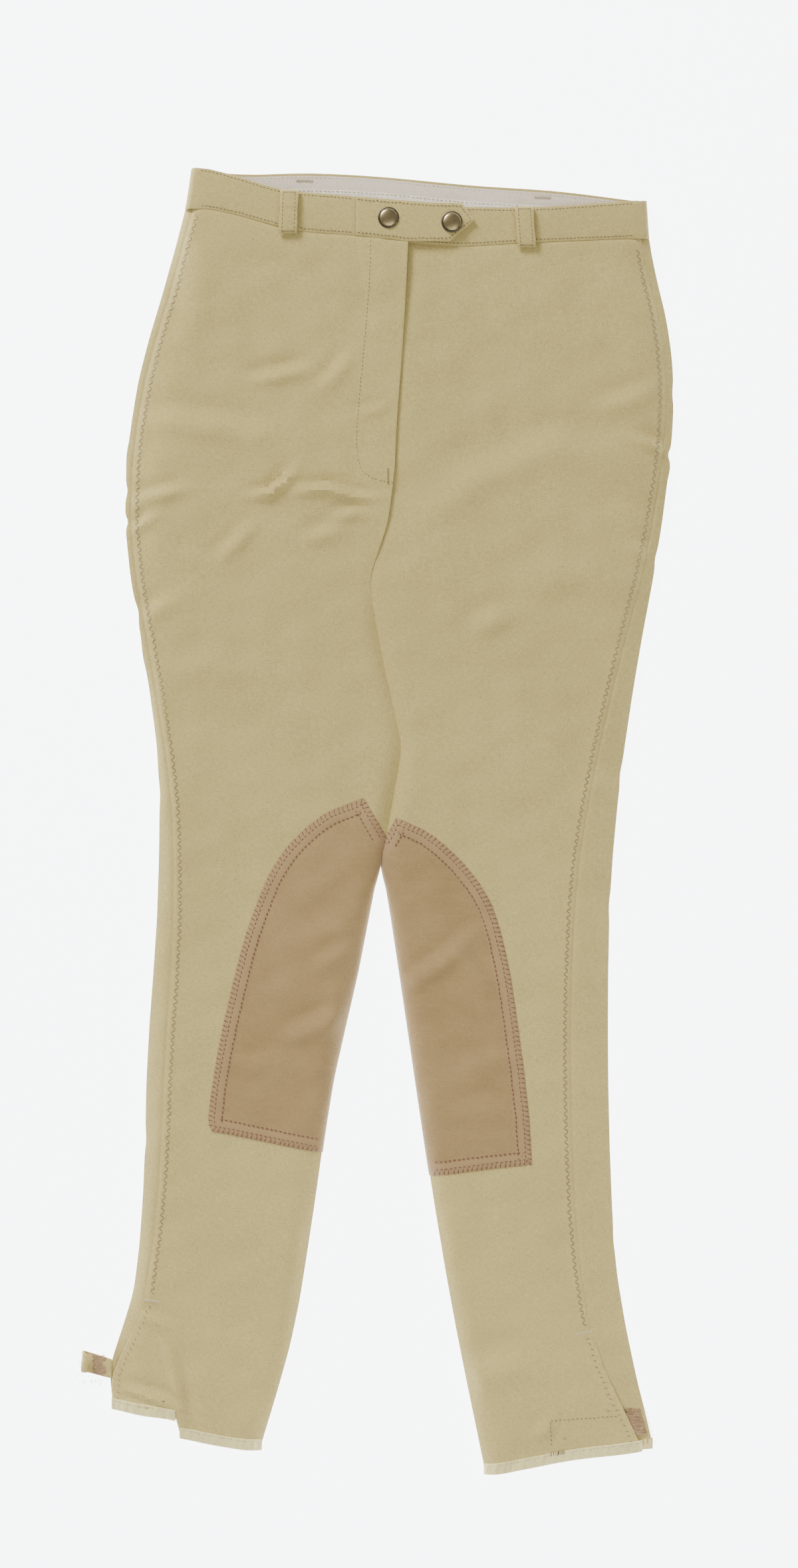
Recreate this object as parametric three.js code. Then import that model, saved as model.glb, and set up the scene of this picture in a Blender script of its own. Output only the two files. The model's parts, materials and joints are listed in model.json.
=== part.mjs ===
// Riding breeches, laid flat with the front up: millimetres, +X across the body, +Y to the waist,
// +Z up from the surface they lie on. "right" and "left" are the wearer's own: right lies at -X.
// Each leg is a back panel, a front panel above it and a seam strip along either side that turns
// up from one to the other, so the seat and both legs stay hollow. Each leg bends at the knee.

import * as THREE from 'three';

// Driving dimensions.
const bodyWidth = 393;       // across both hips
const bodyLength = 935;      // waist to hem
const cloth = 1.2;           // panels and seam strips
const gap = 0.3;             // clearance between pieces that meet
const seamGap = 0.5;         // clearance along a curved seam
const legHollow = 6.8;       // between the back and the front of a leg
const bandThickness = 2;
const liningThickness = 0.6;
const loopThickness = 1.6;
const loopWidth = 13;
const loopOverhang = 4;      // how far a belt loop runs past the seam under the band
const loopArch = 1.2;        // how far a front belt loop stands off the band
const seatDrop = 26;         // length over which the back rises to clear the belt loops
const waistHollow = 4.4;     // between the lining and the band at the left front
const snapRadius = 7.5;
const snapHeight = 2;
const fastenerRadius = 5;    // socket and stud flange
const knobRadius = 1.8;
const knobHeight = 1.2;
const flangeThickness = 0.5;
const socketBore = 2.2;      // bore radius, with room for the knob as the tab swings off
const zipLength = 156;
const zipBelowBand = 10;     // from the seam under the waistband to the zip's top
const flyOverrun = 6;        // how far the fly opens below the zip's foot
const zipFromEdge = 10.6;    // middle of the zip to the fly's edge, at the zip's foot
const tapeWidth = 9.3;
const tapeThickness = 0.4;
const toothPitch = 3;
const toothWidth = 1.2;
const toothThickness = 1.4;
const stopThickness = 2;
const chainHalfWidth = 2;
const sliderLength = 9;
const sliderThickness = 2.8;
const sliderHalfWidth = 4.5;
const pullLength = 22;
const pullWidth = 5;
const pullThickness = 0.8;
const patchThickness = 1.2;
const patchEdge = 1;         // how far the patch stays inside the front panel's edge
const inseamWidth = 5;       // turn of cloth from the inseam to the inner fold
const legSpacing = 1;        // between the two legs where they lie side by side
const bandTurn = 6;          // how far in the waistband's side turn begins
const bindingWidth = 8;
const bindingThickness = 1.8;
const padThickness = 1.4;
const tabLength = 20;        // ankle tab, flat
const tabRoll = 3;           // radius of its rolled end

// The outlines are drafted for these sizes, and are graded to the sizes above.
const across = bodyWidth / 393;
const along = bodyLength / 935;
const graded = (points) => points.map(([x, y]) => [x * across, y * along]);

const { lerp: mix, smoothstep } = THREE.MathUtils;

// A smooth line through points, as x over y or as y over x.
function spline(keys, values) {
  const curve = new THREE.CubicInterpolant(keys, values, 1);
  return (key) => curve.evaluate(key)[0];
}
function edge(points) {
  const rising = graded(points).reverse();
  return spline(rising.map((point) => point[1]), rising.map((point) => point[0]));
}
function crest(points) {
  const rising = graded(points);
  return spline(rising.map((point) => point[0]), rising.map((point) => point[1]));
}

// Outer folds, from the waist to the ankle slit.
const foldRight = edge([
  [-132, 467], [-136, 439], [-142, 419], [-155, 373], [-169, 325], [-177, 278], [-181, 230],
  [-179, 192], [-165, 107], [-157, 45], [-157, -51], [-165, -177], [-167, -253], [-172, -318],
  [-180, -362], [-193, -388],
]);
const foldLeft = edge([
  [192, 443], [194, 414], [207, 358], [212, 316], [211, 278], [202, 202], [185, 107], [174, 31],
  [167, -45], [165, -139], [167, -253], [172, -329], [187, -405], [197, -449],
]);

// How far the side seam lies in from the outer fold.
const wrapRight = edge([[6, 440], [6, 60], [10, 0], [13, -100], [13, -200], [11, -270], [9, -341]]);
const wrapLeft = edge([[6, 440], [7, 206], [15, 92], [24, -30], [27, -200], [25, -364]]);

// Centre front seam, crotch and inner folds. The legs lie side by side down to the fork.
const centrePoints = [
  [21, 412], [18, 354], [12, 273], [9, 222], [1, 198], [-7, 176], [-4, 158], [4, 106], [12, 80],
  [17, 48], [6, -2], [2.5, -24],
];
const innerRight = edge([
  ...centrePoints, [-7, -73], [-16, -119], [-30, -178], [-47, -291], [-60, -367], [-83, -447],
]);
const innerLeft = edge([
  ...centrePoints, [8, -58], [21, -145], [40, -272], [53, -348], [77, -467],
]);

const knee = -108 * along;
const crotch = 188 * along;
const inseamTop = crotch - 14;
const slitRight = -341 * along;
const slitLeft = -364 * along;

// Waistband edges, as y over x.
const bandTopFront = crest([
  [-132, 467], [-100, 459], [-71, 450], [-21, 445], [9, 441], [68, 438], [111, 438], [192, 443],
]);
const bandFootFront = crest([
  [-137, 438], [-107, 433], [-57, 420], [-19, 417], [58, 410], [97, 412], [194, 416],
]);
const bandTopBack = crest([
  [-132, 467], [-100, 463], [-52, 464], [-6, 462], [70, 455], [129, 451], [192, 443],
]);
const bandFootBack = crest([
  [-137, 438], [-100, 435], [-52, 436], [-6, 434], [70, 427], [129, 423], [194, 416],
]);

// Hem edges, as y over x.
const hemRight = crest([[-146, -438], [-113, -445], [-80, -450]]);
const hemFlapRight = crest([[-192, -420], [-140, -427]]);
const hemBackRight = crest([[-192, -418], [-144, -428], [-113, -441], [-80, -450]]);
const hemLeft = crest([[70, -468], [101, -463], [141, -455], [200, -449]]);

// Heights of the middle of each layer.
const backBand = loopThickness + gap + bandThickness / 2;
const lining = backBand + bandThickness / 2 + gap + liningThickness / 2;
const legFront = cloth + legHollow + cloth / 2;
const bandLeft = lining + liningThickness / 2 + waistHollow + bandThickness / 2;
const studSeat = bandLeft + bandThickness / 2 + gap;
const socketSeat = studSeat + flangeThickness + gap;
const tabFoot = socketSeat + knobHeight + gap;
const bandRight = tabFoot + bandThickness / 2;
const tapeLevel = cloth + legHollow - gap - tapeThickness / 2;
const sliderTop = tapeLevel + sliderThickness / 2;
const pullSeat = sliderTop + gap;
const flyFront = pullSeat + pullThickness + gap + cloth / 2;
const shield = tapeLevel - sliderThickness / 2 - gap - cloth / 2;

const bandSide = 438 * along;
const zipTop = bandFootFront(0) - zipBelowBand;
const zipFoot = zipTop - zipLength;
const flyFoot = zipFoot - flyOverrun;
const backHeight = (y) => {
  const rise = smoothstep(y, 385 * along, 385 * along + seatDrop);
  return mix(cloth / 2, backBand, rise);
};
const frontRight = (y) => {
  const overFly = (flyFront - legFront) * smoothstep(y, flyFoot - 93, flyFoot - 8);
  return legFront + overFly + (bandRight - flyFront) * smoothstep(y, 325 * along, 402 * along);
};
const frontLeft = (y) => legFront + (bandLeft - legFront) * smoothstep(y, 300 * along, 400 * along);

// A closed sheet: place(u, v) gives its middle surface, and its thickness is laid off square to it.
function sheet(place, thickness, columns, rows) {
  const geometry = new THREE.BoxGeometry(1, 1, 1, columns, rows, 1);
  const position = geometry.attributes.position;
  const step = 0.002;
  for (let i = 0; i < position.count; i++) {
    const u = Math.round((position.getX(i) + 0.5) * columns) / columns;
    const v = Math.round((position.getY(i) + 0.5) * rows) / rows;
    const acrossSheet = place(Math.min(u + step, 1), v).sub(place(Math.max(u - step, 0), v));
    const alongSheet = place(u, Math.min(v + step, 1)).sub(place(u, Math.max(v - step, 0)));
    const square = acrossSheet.cross(alongSheet).normalize();
    const point = place(u, v).addScaledVector(square, Math.sign(position.getZ(i)) * thickness / 2);
    position.setXYZ(i, point.x, point.y, point.z);
  }
  geometry.deleteAttribute('normal');
  geometry.deleteAttribute('uv');
  return geometry;
}

// Rows of a panel, each a height that may depend on the place u across it.
const level = (y) => () => y;
function levels(from, to, count) {
  return Array.from({ length: count + 1 }, (_, i) => level(mix(from, to, i / count)));
}
// The row along a line such as a seam or a hem, between two edges.
function rowOn(line, left, right) {
  return (u) => {
    let y = line(mix(left(knee), right(knee), u));
    for (let i = 0; i < 8; i++) y = line(mix(left(y), right(y), u));
    return y;
  };
}
function rowsUpTo(rows, last, count) {
  const first = rows[rows.length - 1];
  const between = Array.from({ length: count }, (_, i) => {
    const share = (i + 1) / count;
    return (u) => mix(first(u), last(u), share);
  });
  return [...rows, ...between];
}
function panel(left, right, rows, height, thickness, columns) {
  const place = (u, v) => {
    const at = v * (rows.length - 1);
    const row = Math.min(Math.floor(at + 1e-6), rows.length - 2);
    const y = mix(rows[row](u), rows[row + 1](u), at - row);
    return new THREE.Vector3(mix(left(y), right(y), u), y, height(y));
  };
  return sheet(place, thickness, columns, rows.length - 1);
}

// The strip of cloth that turns from the back up to the front, out to the fold at its middle.
function seamStrip(fold, width, rows, edgeAt, front) {
  const heights = rows.map((row) => row(edgeAt));
  const inward = (y) => Math.sign(width(y));
  const place = (u, v) => {
    const at = v * (heights.length - 1);
    const row = Math.min(Math.floor(at + 1e-6), heights.length - 2);
    const y = mix(heights[row], heights[row + 1], at - row);
    const turn = Math.PI * u;
    const reach = Math.abs(width(y)) - gap - cloth / 2;
    const x = fold(y) + inward(y) * (cloth / 2 + reach * (1 - Math.sin(turn)));
    return new THREE.Vector3(x, y, mix(backHeight(y), front(y), (1 - Math.cos(turn)) / 2));
  };
  return sheet(place, cloth, 6, heights.length - 1);
}

function slab(points, bottom, thickness) {
  const outline = new THREE.Shape(points.map(([x, y]) => new THREE.Vector2(x, y)));
  const geometry = new THREE.ExtrudeGeometry(outline, { depth: thickness, bevelEnabled: false });
  return geometry.translate(0, 0, bottom);
}
function turned(profile, bottom) {
  const geometry = new THREE.LatheGeometry(profile.map(([r, z]) => new THREE.Vector2(r, z)), 20);
  return geometry.rotateX(Math.PI / 2).translate(0, 0, bottom);
}

const looks = {
  cloth: { color: '#b8a980', roughness: 0.9, metalness: 0 },
  suede: { color: '#b0946c', roughness: 0.95, metalness: 0 },
  binding: { color: '#dcd0a8', roughness: 0.8, metalness: 0 },
  lining: { color: '#cdc1b3', roughness: 0.85, metalness: 0 },
  hook: { color: '#5d4a3a', roughness: 0.95, metalness: 0 },
  tape: { color: '#a89a74', roughness: 0.9, metalness: 0 },
  brass: { color: '#7a6640', roughness: 0.45, metalness: 0.9 },
};
const breeches = new THREE.Group();
function add(name, geometry, look) {
  const mesh = new THREE.Mesh(geometry, new THREE.MeshStandardMaterial(looks[look]));
  mesh.name = name;
  breeches.add(mesh);
  return mesh;
}

// Edges of the panels. The inner edges leave room for the inseam strips below the crotch.
const inset = (y) => inseamWidth * smoothstep(y, crotch - 34, crotch) * -1 + inseamWidth;
const closure = -15 * across; // line where the waist tab and the fly's flap bend, x
const sideRight = (y) => foldRight(y) + wrapRight(y);
const sideLeft = (y) => foldLeft(y) - wrapLeft(y);
const insideRight = (y) => innerRight(y) - legSpacing / 2 - inset(y);
const insideLeft = (y) => innerLeft(y) + legSpacing / 2 + inset(y);

// The fly's flap folds back along a slanting line, from the zip's foot to the tab's end.
const flyTip = flyFoot + flyOverrun + 4;
const flySlope = (closure - innerRight(flyTip)) / (bandFootFront(closure) - flyTip);
const flapFold = (y) => innerRight(flyTip) - legSpacing / 2 + flySlope * (y - flyTip);
const insideFrontRight = (y) => (y > flyTip ? flapFold(y) - gap : insideRight(y));

// Ankle slits: the front has a flap that lifts, and the back runs on under it.
const flapLineRight = edge([[-164, -341], [-143, -426], [-139, -442]]);
const flapLineLeft = edge([[152, -364], [124, -450], [121, -460]]);
const slitEdgeRight = edge([[-167, -345], [-172, -357], [-183, -380], [-191, -400], [-187, -422]]);
const slitEdgeLeft = edge([[155, -368], [161, -388], [176, -420], [187, -444], [188, -452]]);
const ankleRight = (y) => (y > slitRight ? sideRight(y) : flapLineRight(y));
const ankleLeft = (y) => (y > slitLeft ? sideLeft(y) : flapLineLeft(y));
const backEdgeRight = edge([[-166, -344], [-182, -366], [-192, -388], [-192, -400], [-187, -422]]);
const backEdgeLeft = edge([[157, -367], [176, -378], [186, -402], [196, -442], [197, -452]]);
const ankleBackRight = (y) => (y > slitRight ? sideRight(y) : backEdgeRight(y));
const ankleBackLeft = (y) => (y > slitLeft ? sideLeft(y) : backEdgeLeft(y));

const sides = [
  {
    name: 'right', side: sideRight, inside: insideRight, front: frontRight, atSide: 0,
    insideFront: insideFrontRight, fold: foldRight, wrap: wrapRight, inner: innerRight,
    slit: slitRight, ankle: ankleRight, ankleBack: ankleBackRight, hem: hemRight,
    hemBack: hemBackRight, hemFlap: hemFlapRight, flapLine: flapLineRight, slitEdge: slitEdgeRight,
  },
  {
    name: 'left', side: sideLeft, inside: insideLeft, front: frontLeft, atSide: 1,
    insideFront: insideLeft, fold: foldLeft, wrap: wrapLeft, inner: innerLeft,
    slit: slitLeft, ankle: ankleLeft, ankleBack: ankleBackLeft, hem: hemLeft,
    hemBack: hemLeft, hemFlap: hemLeft, flapLine: flapLineLeft, slitEdge: slitEdgeLeft,
  },
];

for (const leg of sides) {
  const inward = leg.atSide === 0 ? 1 : -1;
  const ordered = (outer, inner) => (leg.atSide === 0 ? [outer, inner] : [inner, outer]);
  const joint = seamGap / 2;

  // Thighs, from the knee to the seam under the waistband.
  const thigh = levels(knee + joint, inseamTop, 7);
  const belowFly = rowsUpTo(thigh, level(flyTip), 2);
  const frontEdges = ordered(leg.side, leg.insideFront);
  const backEdges = ordered(leg.side, leg.inside);
  const frontTop = rowOn((x) => bandFootFront(x) - seamGap, ...frontEdges);
  const backTop = rowOn((x) => bandFootBack(x) - seamGap, ...backEdges);
  const frontRows = rowsUpTo(belowFly, frontTop, 6);
  const backRows = rowsUpTo(belowFly, backTop, 6);
  add(`front_thigh_${leg.name}`, panel(...frontEdges, frontRows, leg.front, cloth, 10), 'cloth');
  add(`back_thigh_${leg.name}`, panel(...backEdges, backRows, backHeight, cloth, 6), 'cloth');

  // Shins, from the knee to the slit and on to the hem.
  const shin = levels(knee - joint, leg.slit + gap, 6);
  const ankleEdges = ordered(leg.ankle, leg.inside);
  const ankleBackEdges = ordered(leg.ankleBack, leg.inside);
  const overBinding = bindingWidth + seamGap;
  const hemRow = rowOn((x) => leg.hem(x) + overBinding, ...ankleEdges);
  const backHemRow = rowOn((x) => leg.hemBack(x) + overBinding, ...ankleBackEdges);
  const belowSlit = [...shin, level(leg.slit - gap)];
  const frontShin = rowsUpTo(belowSlit, hemRow, 3);
  const backShin = rowsUpTo([...belowSlit, level(leg.slit - 30)], backHemRow, 2);
  add(`front_shin_${leg.name}`, panel(...ankleEdges, frontShin.reverse(), leg.front, cloth, 5), 'cloth');
  add(`back_shin_${leg.name}`, panel(...ankleBackEdges, backShin.reverse(), backHeight, cloth, 5), 'cloth');

  // Seam strips: the side seam down to the slit, and the inseam from the crotch to the hem.
  const wrap = (y) => inward * leg.wrap(y);
  const turnIn = (y) => -inward * inset(y);
  const inseamFold = (y) => leg.inner(y) - inward * legSpacing / 2;
  const inseamFoot = leg.hem(leg.inner(-440 * along)) + overBinding;
  const lowerInseam = rowsUpTo(belowSlit, level(inseamFoot), 3).reverse();
  const atInside = 1 - leg.atSide;
  add(`side_seam_upper_${leg.name}`, seamStrip(leg.fold, wrap, frontRows, leg.atSide, leg.front), 'cloth');
  const lowerSide = seamStrip(leg.fold, wrap, [...shin].reverse(), leg.atSide, leg.front);
  add(`side_seam_lower_${leg.name}`, lowerSide, 'cloth');
  add(`inseam_upper_${leg.name}`, seamStrip(inseamFold, turnIn, thigh, atInside, leg.front), 'cloth');
  add(`inseam_lower_${leg.name}`, seamStrip(inseamFold, turnIn, lowerInseam, atInside, leg.front), 'cloth');

  // The flap of the front beside the slit, and the binding along each free hem.
  const flapInner = (y) => leg.flapLine(y) - inward * gap;
  const flapEdges = ordered(leg.slitEdge, flapInner);
  const flapHem = rowOn((x) => leg.hemFlap(x) + overBinding, ...flapEdges);
  const flapRows = rowsUpTo([level(leg.slit - 9)], flapHem, 4).reverse();
  add(`ankle_flap_${leg.name}`, panel(...flapEdges, flapRows, leg.front, cloth, 4), 'cloth');
  const bound = (line, edges) => [
    rowOn(line, ...edges), rowOn((x) => line(x) + bindingWidth, ...edges),
  ];
  const binding = (name, line, edges, height, columns) => {
    const strip = panel(...edges, bound(line, edges), height, bindingThickness, columns);
    add(`hem_binding_${name}_${leg.name}`, strip, 'binding');
  };
  binding('front', leg.hem, ankleEdges, leg.front, 5);
  binding('flap', leg.hemFlap, flapEdges, leg.front, 4);
  binding('back', leg.hemBack, ankleBackEdges, () => bindingThickness / 2, 5);
}

// Waistband: the back half turns up at both sides to meet the two front halves.
const bandRightEnd = (y) => foldRight(y) + cloth / 2;
const bandLeftEnd = (y) => foldLeft(y) - cloth / 2;
const turnShare = 1 / 6;
function aroundBack(u, v) {
  const leftX = bandRightEnd(mix(bandSide, bandSide + 29, v));
  const rightX = bandLeftEnd(mix(bandSide - 22, bandSide + 5, v));
  const onRight = u < turnShare;
  const onLeft = u > 1 - turnShare;
  if (!onRight && !onLeft) {
    const x = mix(leftX + bandTurn, rightX - bandTurn, (u - turnShare) / (1 - 2 * turnShare));
    return new THREE.Vector3(x, mix(bandFootBack(x), bandTopBack(x), v), backBand);
  }
  const turn = Math.PI * (onRight ? u : 1 - u) / turnShare;
  const reach = bandTurn * (1 - Math.sin(turn));
  const x = onRight ? leftX + reach : rightX - reach;
  const lifted = turn < Math.PI / 2;
  const foot = lifted ? bandFootFront(x) : bandFootBack(x);
  const top = lifted ? bandTopFront(x) : bandTopBack(x);
  const height = onRight ? bandRight : bandLeft;
  return new THREE.Vector3(x, mix(foot, top, v), mix(backBand, height, (1 + Math.cos(turn)) / 2));
}
add('waistband_back', sheet(aroundBack, bandThickness, 24, 1), 'cloth');

// A length of band between two places across, from its foot to its top.
function bandLength(from, to, foot, top, height, thickness, columns) {
  const place = (u, v) => {
    const x = mix(from(v), to(v), u);
    return new THREE.Vector3(x, mix(foot(x), top(x), v), height);
  };
  return sheet(place, thickness, columns, 1);
}
const bandStartRight = (v) => bandRightEnd(mix(bandSide, bandSide + 29, v)) + bandTurn + gap;
const bandStartLeft = (v) => bandLeftEnd(mix(bandSide - 22, bandSide + 5, v)) - bandTurn - gap;
const underlap = -8 * across; // how far the left band runs on under the tab, x
add('waistband_front_right', bandLength(
  bandStartRight, () => closure - gap, bandFootFront, bandTopFront, bandRight, bandThickness, 10,
), 'cloth');
add('waistband_front_left', bandLength(
  () => underlap, bandStartLeft, bandFootFront, bandTopFront, bandLeft, bandThickness, 16,
), 'cloth');
const liningFoot = (x) => bandFootBack(x) + 2;
const liningTop = (x) => bandTopBack(x) - 2;
add('waistband_lining', bandLength(
  (v) => bandStartRight(v) + 3, (v) => bandStartLeft(v) - 3, liningFoot, liningTop, lining,
  liningThickness, 10,
), 'lining');

// The tab that closes the waist, with its pointed end and two snaps.
const tabOutline = [
  ...[closure, closure + 12, closure + 24, 21 * across].map((x) => [x, bandFootFront(x)]),
  ...graded([[52, 409], [69, 427], [60, 438]]), [closure, bandTopFront(closure)],
];
add('waist_tab', slab(tabOutline, tabFoot, bandThickness), 'cloth');
const snapPlaces = { inner: [8, 429], outer: [53, 426] };
for (const [name, place] of Object.entries(snapPlaces)) {
  const [[x, y]] = graded([place]);
  const rim = 0.7;
  const cap = turned([
    [0, 0], [snapRadius, 0], [snapRadius, rim], [snapRadius - 1, rim + 0.3], [snapRadius - 1.6, rim],
    [snapRadius * 0.55, snapHeight * 0.85], [snapRadius * 0.25, snapHeight], [0, snapHeight],
  ], tabFoot + bandThickness + gap);
  const socket = turned([
    [socketBore, 0], [fastenerRadius, 0], [fastenerRadius, knobHeight * 0.6],
    [fastenerRadius - 0.8, knobHeight], [socketBore, knobHeight], [socketBore, 0],
  ], socketSeat);
  const stud = turned([
    [0, 0], [fastenerRadius, 0], [fastenerRadius, flangeThickness], [knobRadius, flangeThickness],
    [knobRadius, flangeThickness + knobHeight], [0, flangeThickness + knobHeight],
  ], studSeat);
  add(`snap_cap_${name}`, cap, 'brass').position.set(x, y, 0);
  add(`snap_socket_${name}`, socket, 'brass').position.set(x, y, 0);
  add(`snap_stud_${name}`, stud, 'brass').position.set(x, y, 0);
}

// Belt loops: two stand on the front band, and two lie flat under the back band.
function beltLoop(top, foot, bandTop, bandFoot, height, arch) {
  const place = (u, v) => {
    const x = mix(foot, top, v) + loopWidth * (u - 0.5);
    const y = mix(bandFoot(foot) - loopOverhang, bandTop(top), v);
    return new THREE.Vector3(x, y, height + arch * Math.sin(Math.PI * v));
  };
  return sheet(place, loopThickness, 2, 5);
}
const overBand = bandThickness / 2 + gap + loopThickness / 2;
const loopPlaces = {
  front_right: [-62, -63.5, bandTopFront, bandFootFront, bandRight + overBand, loopArch],
  front_left: [104, 106.5, bandTopFront, bandFootFront, bandLeft + overBand, loopArch],
  back_right: [-52, -52, bandTopBack, bandFootBack, loopThickness / 2, 0],
  back_left: [118, 118, bandTopBack, bandFootBack, loopThickness / 2, 0],
};
for (const [name, [top, foot, ...rest]] of Object.entries(loopPlaces)) {
  add(`belt_loop_${name}`, beltLoop(top * across, foot * across, ...rest), 'cloth');
}

// Fly: a flap of the front over the zip, and a shield behind the zip.
const flapFree = (y) => innerRight(y) - legSpacing / 2;
const flyTop = rowOn((x) => bandFootFront(x) - seamGap, flapFold, flapFree);
const flyRows = rowsUpTo([level(flyTip + 5)], flyTop, 6);
add('fly_flap', panel(flapFold, flapFree, flyRows, frontRight, cloth, 3), 'cloth');

const zipAcross = innerRight(zipFoot) - zipFromEdge;
const shieldJoin = zipAcross + tapeWidth + chainHalfWidth + 1;
function shieldPlace(u, v) {
  const y = mix(zipFoot - 4, zipTop, v);
  const x = mix(closure + 3, innerLeft(y) + 16, u);
  const rise = smoothstep(x, shieldJoin, shieldJoin + 5);
  const joined = legFront - cloth - gap;
  return new THREE.Vector3(x, y, mix(shield, joined, rise));
}
add('fly_shield', sheet(shieldPlace, cloth, 12, 4), 'cloth');

const zipAt = (mesh) => mesh.position.setX(zipAcross);
const teethOnSide = Math.floor((zipLength - 8) / toothPitch);
const chain = chainHalfWidth - toothWidth * 0.7;   // where the teeth leave their bar
for (const side of sides) {
  const out = side.name === 'right' ? -1 : 1;
  const from = out * (chainHalfWidth + gap);
  const to = out * (chainHalfWidth + gap + tapeWidth);
  const tape = [[from, zipFoot], [to, zipFoot], [to, zipTop], [from, zipTop]];
  const wound = (points) => (out > 0 ? points : points.reverse());
  const weave = slab(wound(tape), tapeLevel - tapeThickness / 2, tapeThickness);
  zipAt(add(`zip_tape_${side.name}`, weave, 'tape'));

  const start = zipFoot + 3 + (out > 0 ? toothPitch / 2 : 0);
  const comb = [[out * chainHalfWidth, zipFoot + 2], [out * chainHalfWidth, zipTop - 2]];
  comb.push([out * chain, zipTop - 2]);
  for (let i = teethOnSide - 1; i >= 0; i--) {
    const y = start + i * toothPitch;
    const tip = -out * (chain - gap);
    comb.push([out * chain, y + toothWidth], [tip, y + toothWidth], [tip, y], [out * chain, y]);
  }
  comb.push([out * chain, zipFoot + 2]);
  const teeth = slab(wound(comb), tapeLevel - toothThickness / 2, toothThickness);
  zipAt(add(`zip_teeth_${side.name}`, teeth, 'brass'));

  const stopFoot = zipTop - 2 + gap;
  const stop = [[out * gap, stopFoot], [out * 2, stopFoot], [out * 2, zipTop], [out * gap, zipTop]];
  const stopBody = slab(wound(stop), tapeLevel - stopThickness / 2, stopThickness);
  zipAt(add(`zip_top_stop_${side.name}`, stopBody, 'brass'));
}
const bottomStop = [[-2, zipFoot], [2, zipFoot], [2, zipFoot + 2 - gap], [-2, zipFoot + 2 - gap]];
const bottomBody = slab(bottomStop, tapeLevel - stopThickness / 2, stopThickness);
zipAt(add('zip_bottom_stop', bottomBody, 'brass'));

// The slider closes the chain at its top. Its two shells ride above and below the chain.
const sliderY = zipTop - 3 - sliderLength;
const roof = tapeLevel + toothThickness / 2 + gap;
const lip = tapeLevel + tapeThickness / 2 + gap;
const sliderSection = [
  [-sliderHalfWidth, lip], [-chainHalfWidth - gap, lip], [-chainHalfWidth - gap, roof],
  [chainHalfWidth + gap, roof], [chainHalfWidth + gap, lip], [sliderHalfWidth, lip],
  [sliderHalfWidth, sliderTop], [-sliderHalfWidth, sliderTop],
];
function sliderShell(facing) {
  const section = sliderSection.map(([x, z]) => [facing * x, tapeLevel + facing * (z - tapeLevel)]);
  const shape = new THREE.Shape(section.map(([x, z]) => new THREE.Vector2(x, z)));
  const geometry = new THREE.ExtrudeGeometry(shape, { depth: sliderLength, bevelEnabled: false });
  return geometry.rotateX(Math.PI / 2).translate(0, sliderY + sliderLength, 0);
}
zipAt(add('zip_slider', sliderShell(1), 'brass'));
zipAt(add('zip_slider_base', sliderShell(-1), 'brass'));
const pullTop = sliderY + sliderLength - 1;
const half = pullWidth / 2;
const pull = new THREE.Shape();
pull.moveTo(-half * 0.6, pullTop).lineTo(-half, pullTop - pullLength + half);
pull.absarc(0, pullTop - pullLength + half, half, Math.PI, 2 * Math.PI, false);
pull.lineTo(half * 0.6, pullTop).closePath();
const pullBody = { depth: pullThickness, bevelEnabled: false, curveSegments: 6 };
zipAt(add('zip_pull', new THREE.ExtrudeGeometry(pull, pullBody).translate(0, 0, pullSeat), 'brass'));

// Knee patches, each in two halves that meet at the knee.
const patchOuterRight = edge([
  [-12, 20], [-26, 14], [-65, -18], [-86, -58], [-105, -123], [-118, -189], [-123, -238],
]);
const patchInnerRight = edge([[-12, 20], [-4, 6], [3, -9], [4, -40]]);
const patchOuterLeft = edge([
  [15, 6], [42, -11], [76, -48], [92, -95], [101, -151], [108, -208], [111, -256],
]);
const patchInnerLeft = edge([[15, 6], [6, -2], [2, -18], [1, -40]]);
const patches = {
  right: {
    outer: patchOuterRight, foot: crest([[-125, -219], [-89, -227], [-52, -236], [-30, -237]]),
    inner: (y) => Math.min(patchInnerRight(y), insideRight(y) - patchEdge),
    top: 17, ordered: (outer, inner) => [outer, inner],
  },
  left: {
    outer: patchOuterLeft, foot: crest([[34, -254], [79, -249], [112, -244]]),
    inner: (y) => Math.max(patchInnerLeft(y), insideLeft(y) + patchEdge),
    top: 3, ordered: (outer, inner) => [inner, outer],
  },
};
const patchLevel = legFront + cloth / 2 + gap + patchThickness / 2;
for (const [name, patch] of Object.entries(patches)) {
  const edges = patch.ordered(patch.outer, patch.inner);
  const height = () => patchLevel;
  const upper = levels(knee + seamGap / 2, patch.top * along, 7);
  const footRow = rowOn(patch.foot, ...edges);
  const lower = rowsUpTo([level(knee - seamGap / 2)], footRow, 4).reverse();
  add(`knee_patch_upper_${name}`, panel(...edges, upper, height, patchThickness, 4), 'suede');
  add(`knee_patch_lower_${name}`, panel(...edges, lower, height, patchThickness, 4), 'suede');
}

// Ankle fastening: a loop pad under each flap, and a hook pad on the back facing it.
const padSeat = cloth + gap;
const loopPadFoot = legFront - cloth / 2 - gap - padThickness;
const loopPadLeft = graded([[132, -440], [174, -433], [168, -419], [137, -422]]);
const hookPadLeft = graded([[150, -441], [193, -439], [188, -420], [152, -421]]);
const loopPadRight = graded([[-182, -409], [-150, -413], [-154, -396], [-185, -393]]);
add('loop_pad_left', slab(loopPadLeft, loopPadFoot, padThickness), 'hook');
add('hook_pad_left', slab(hookPadLeft, padSeat, padThickness), 'hook');
add('loop_pad_right', slab(loopPadRight, loopPadFoot, padThickness), 'hook');

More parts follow.
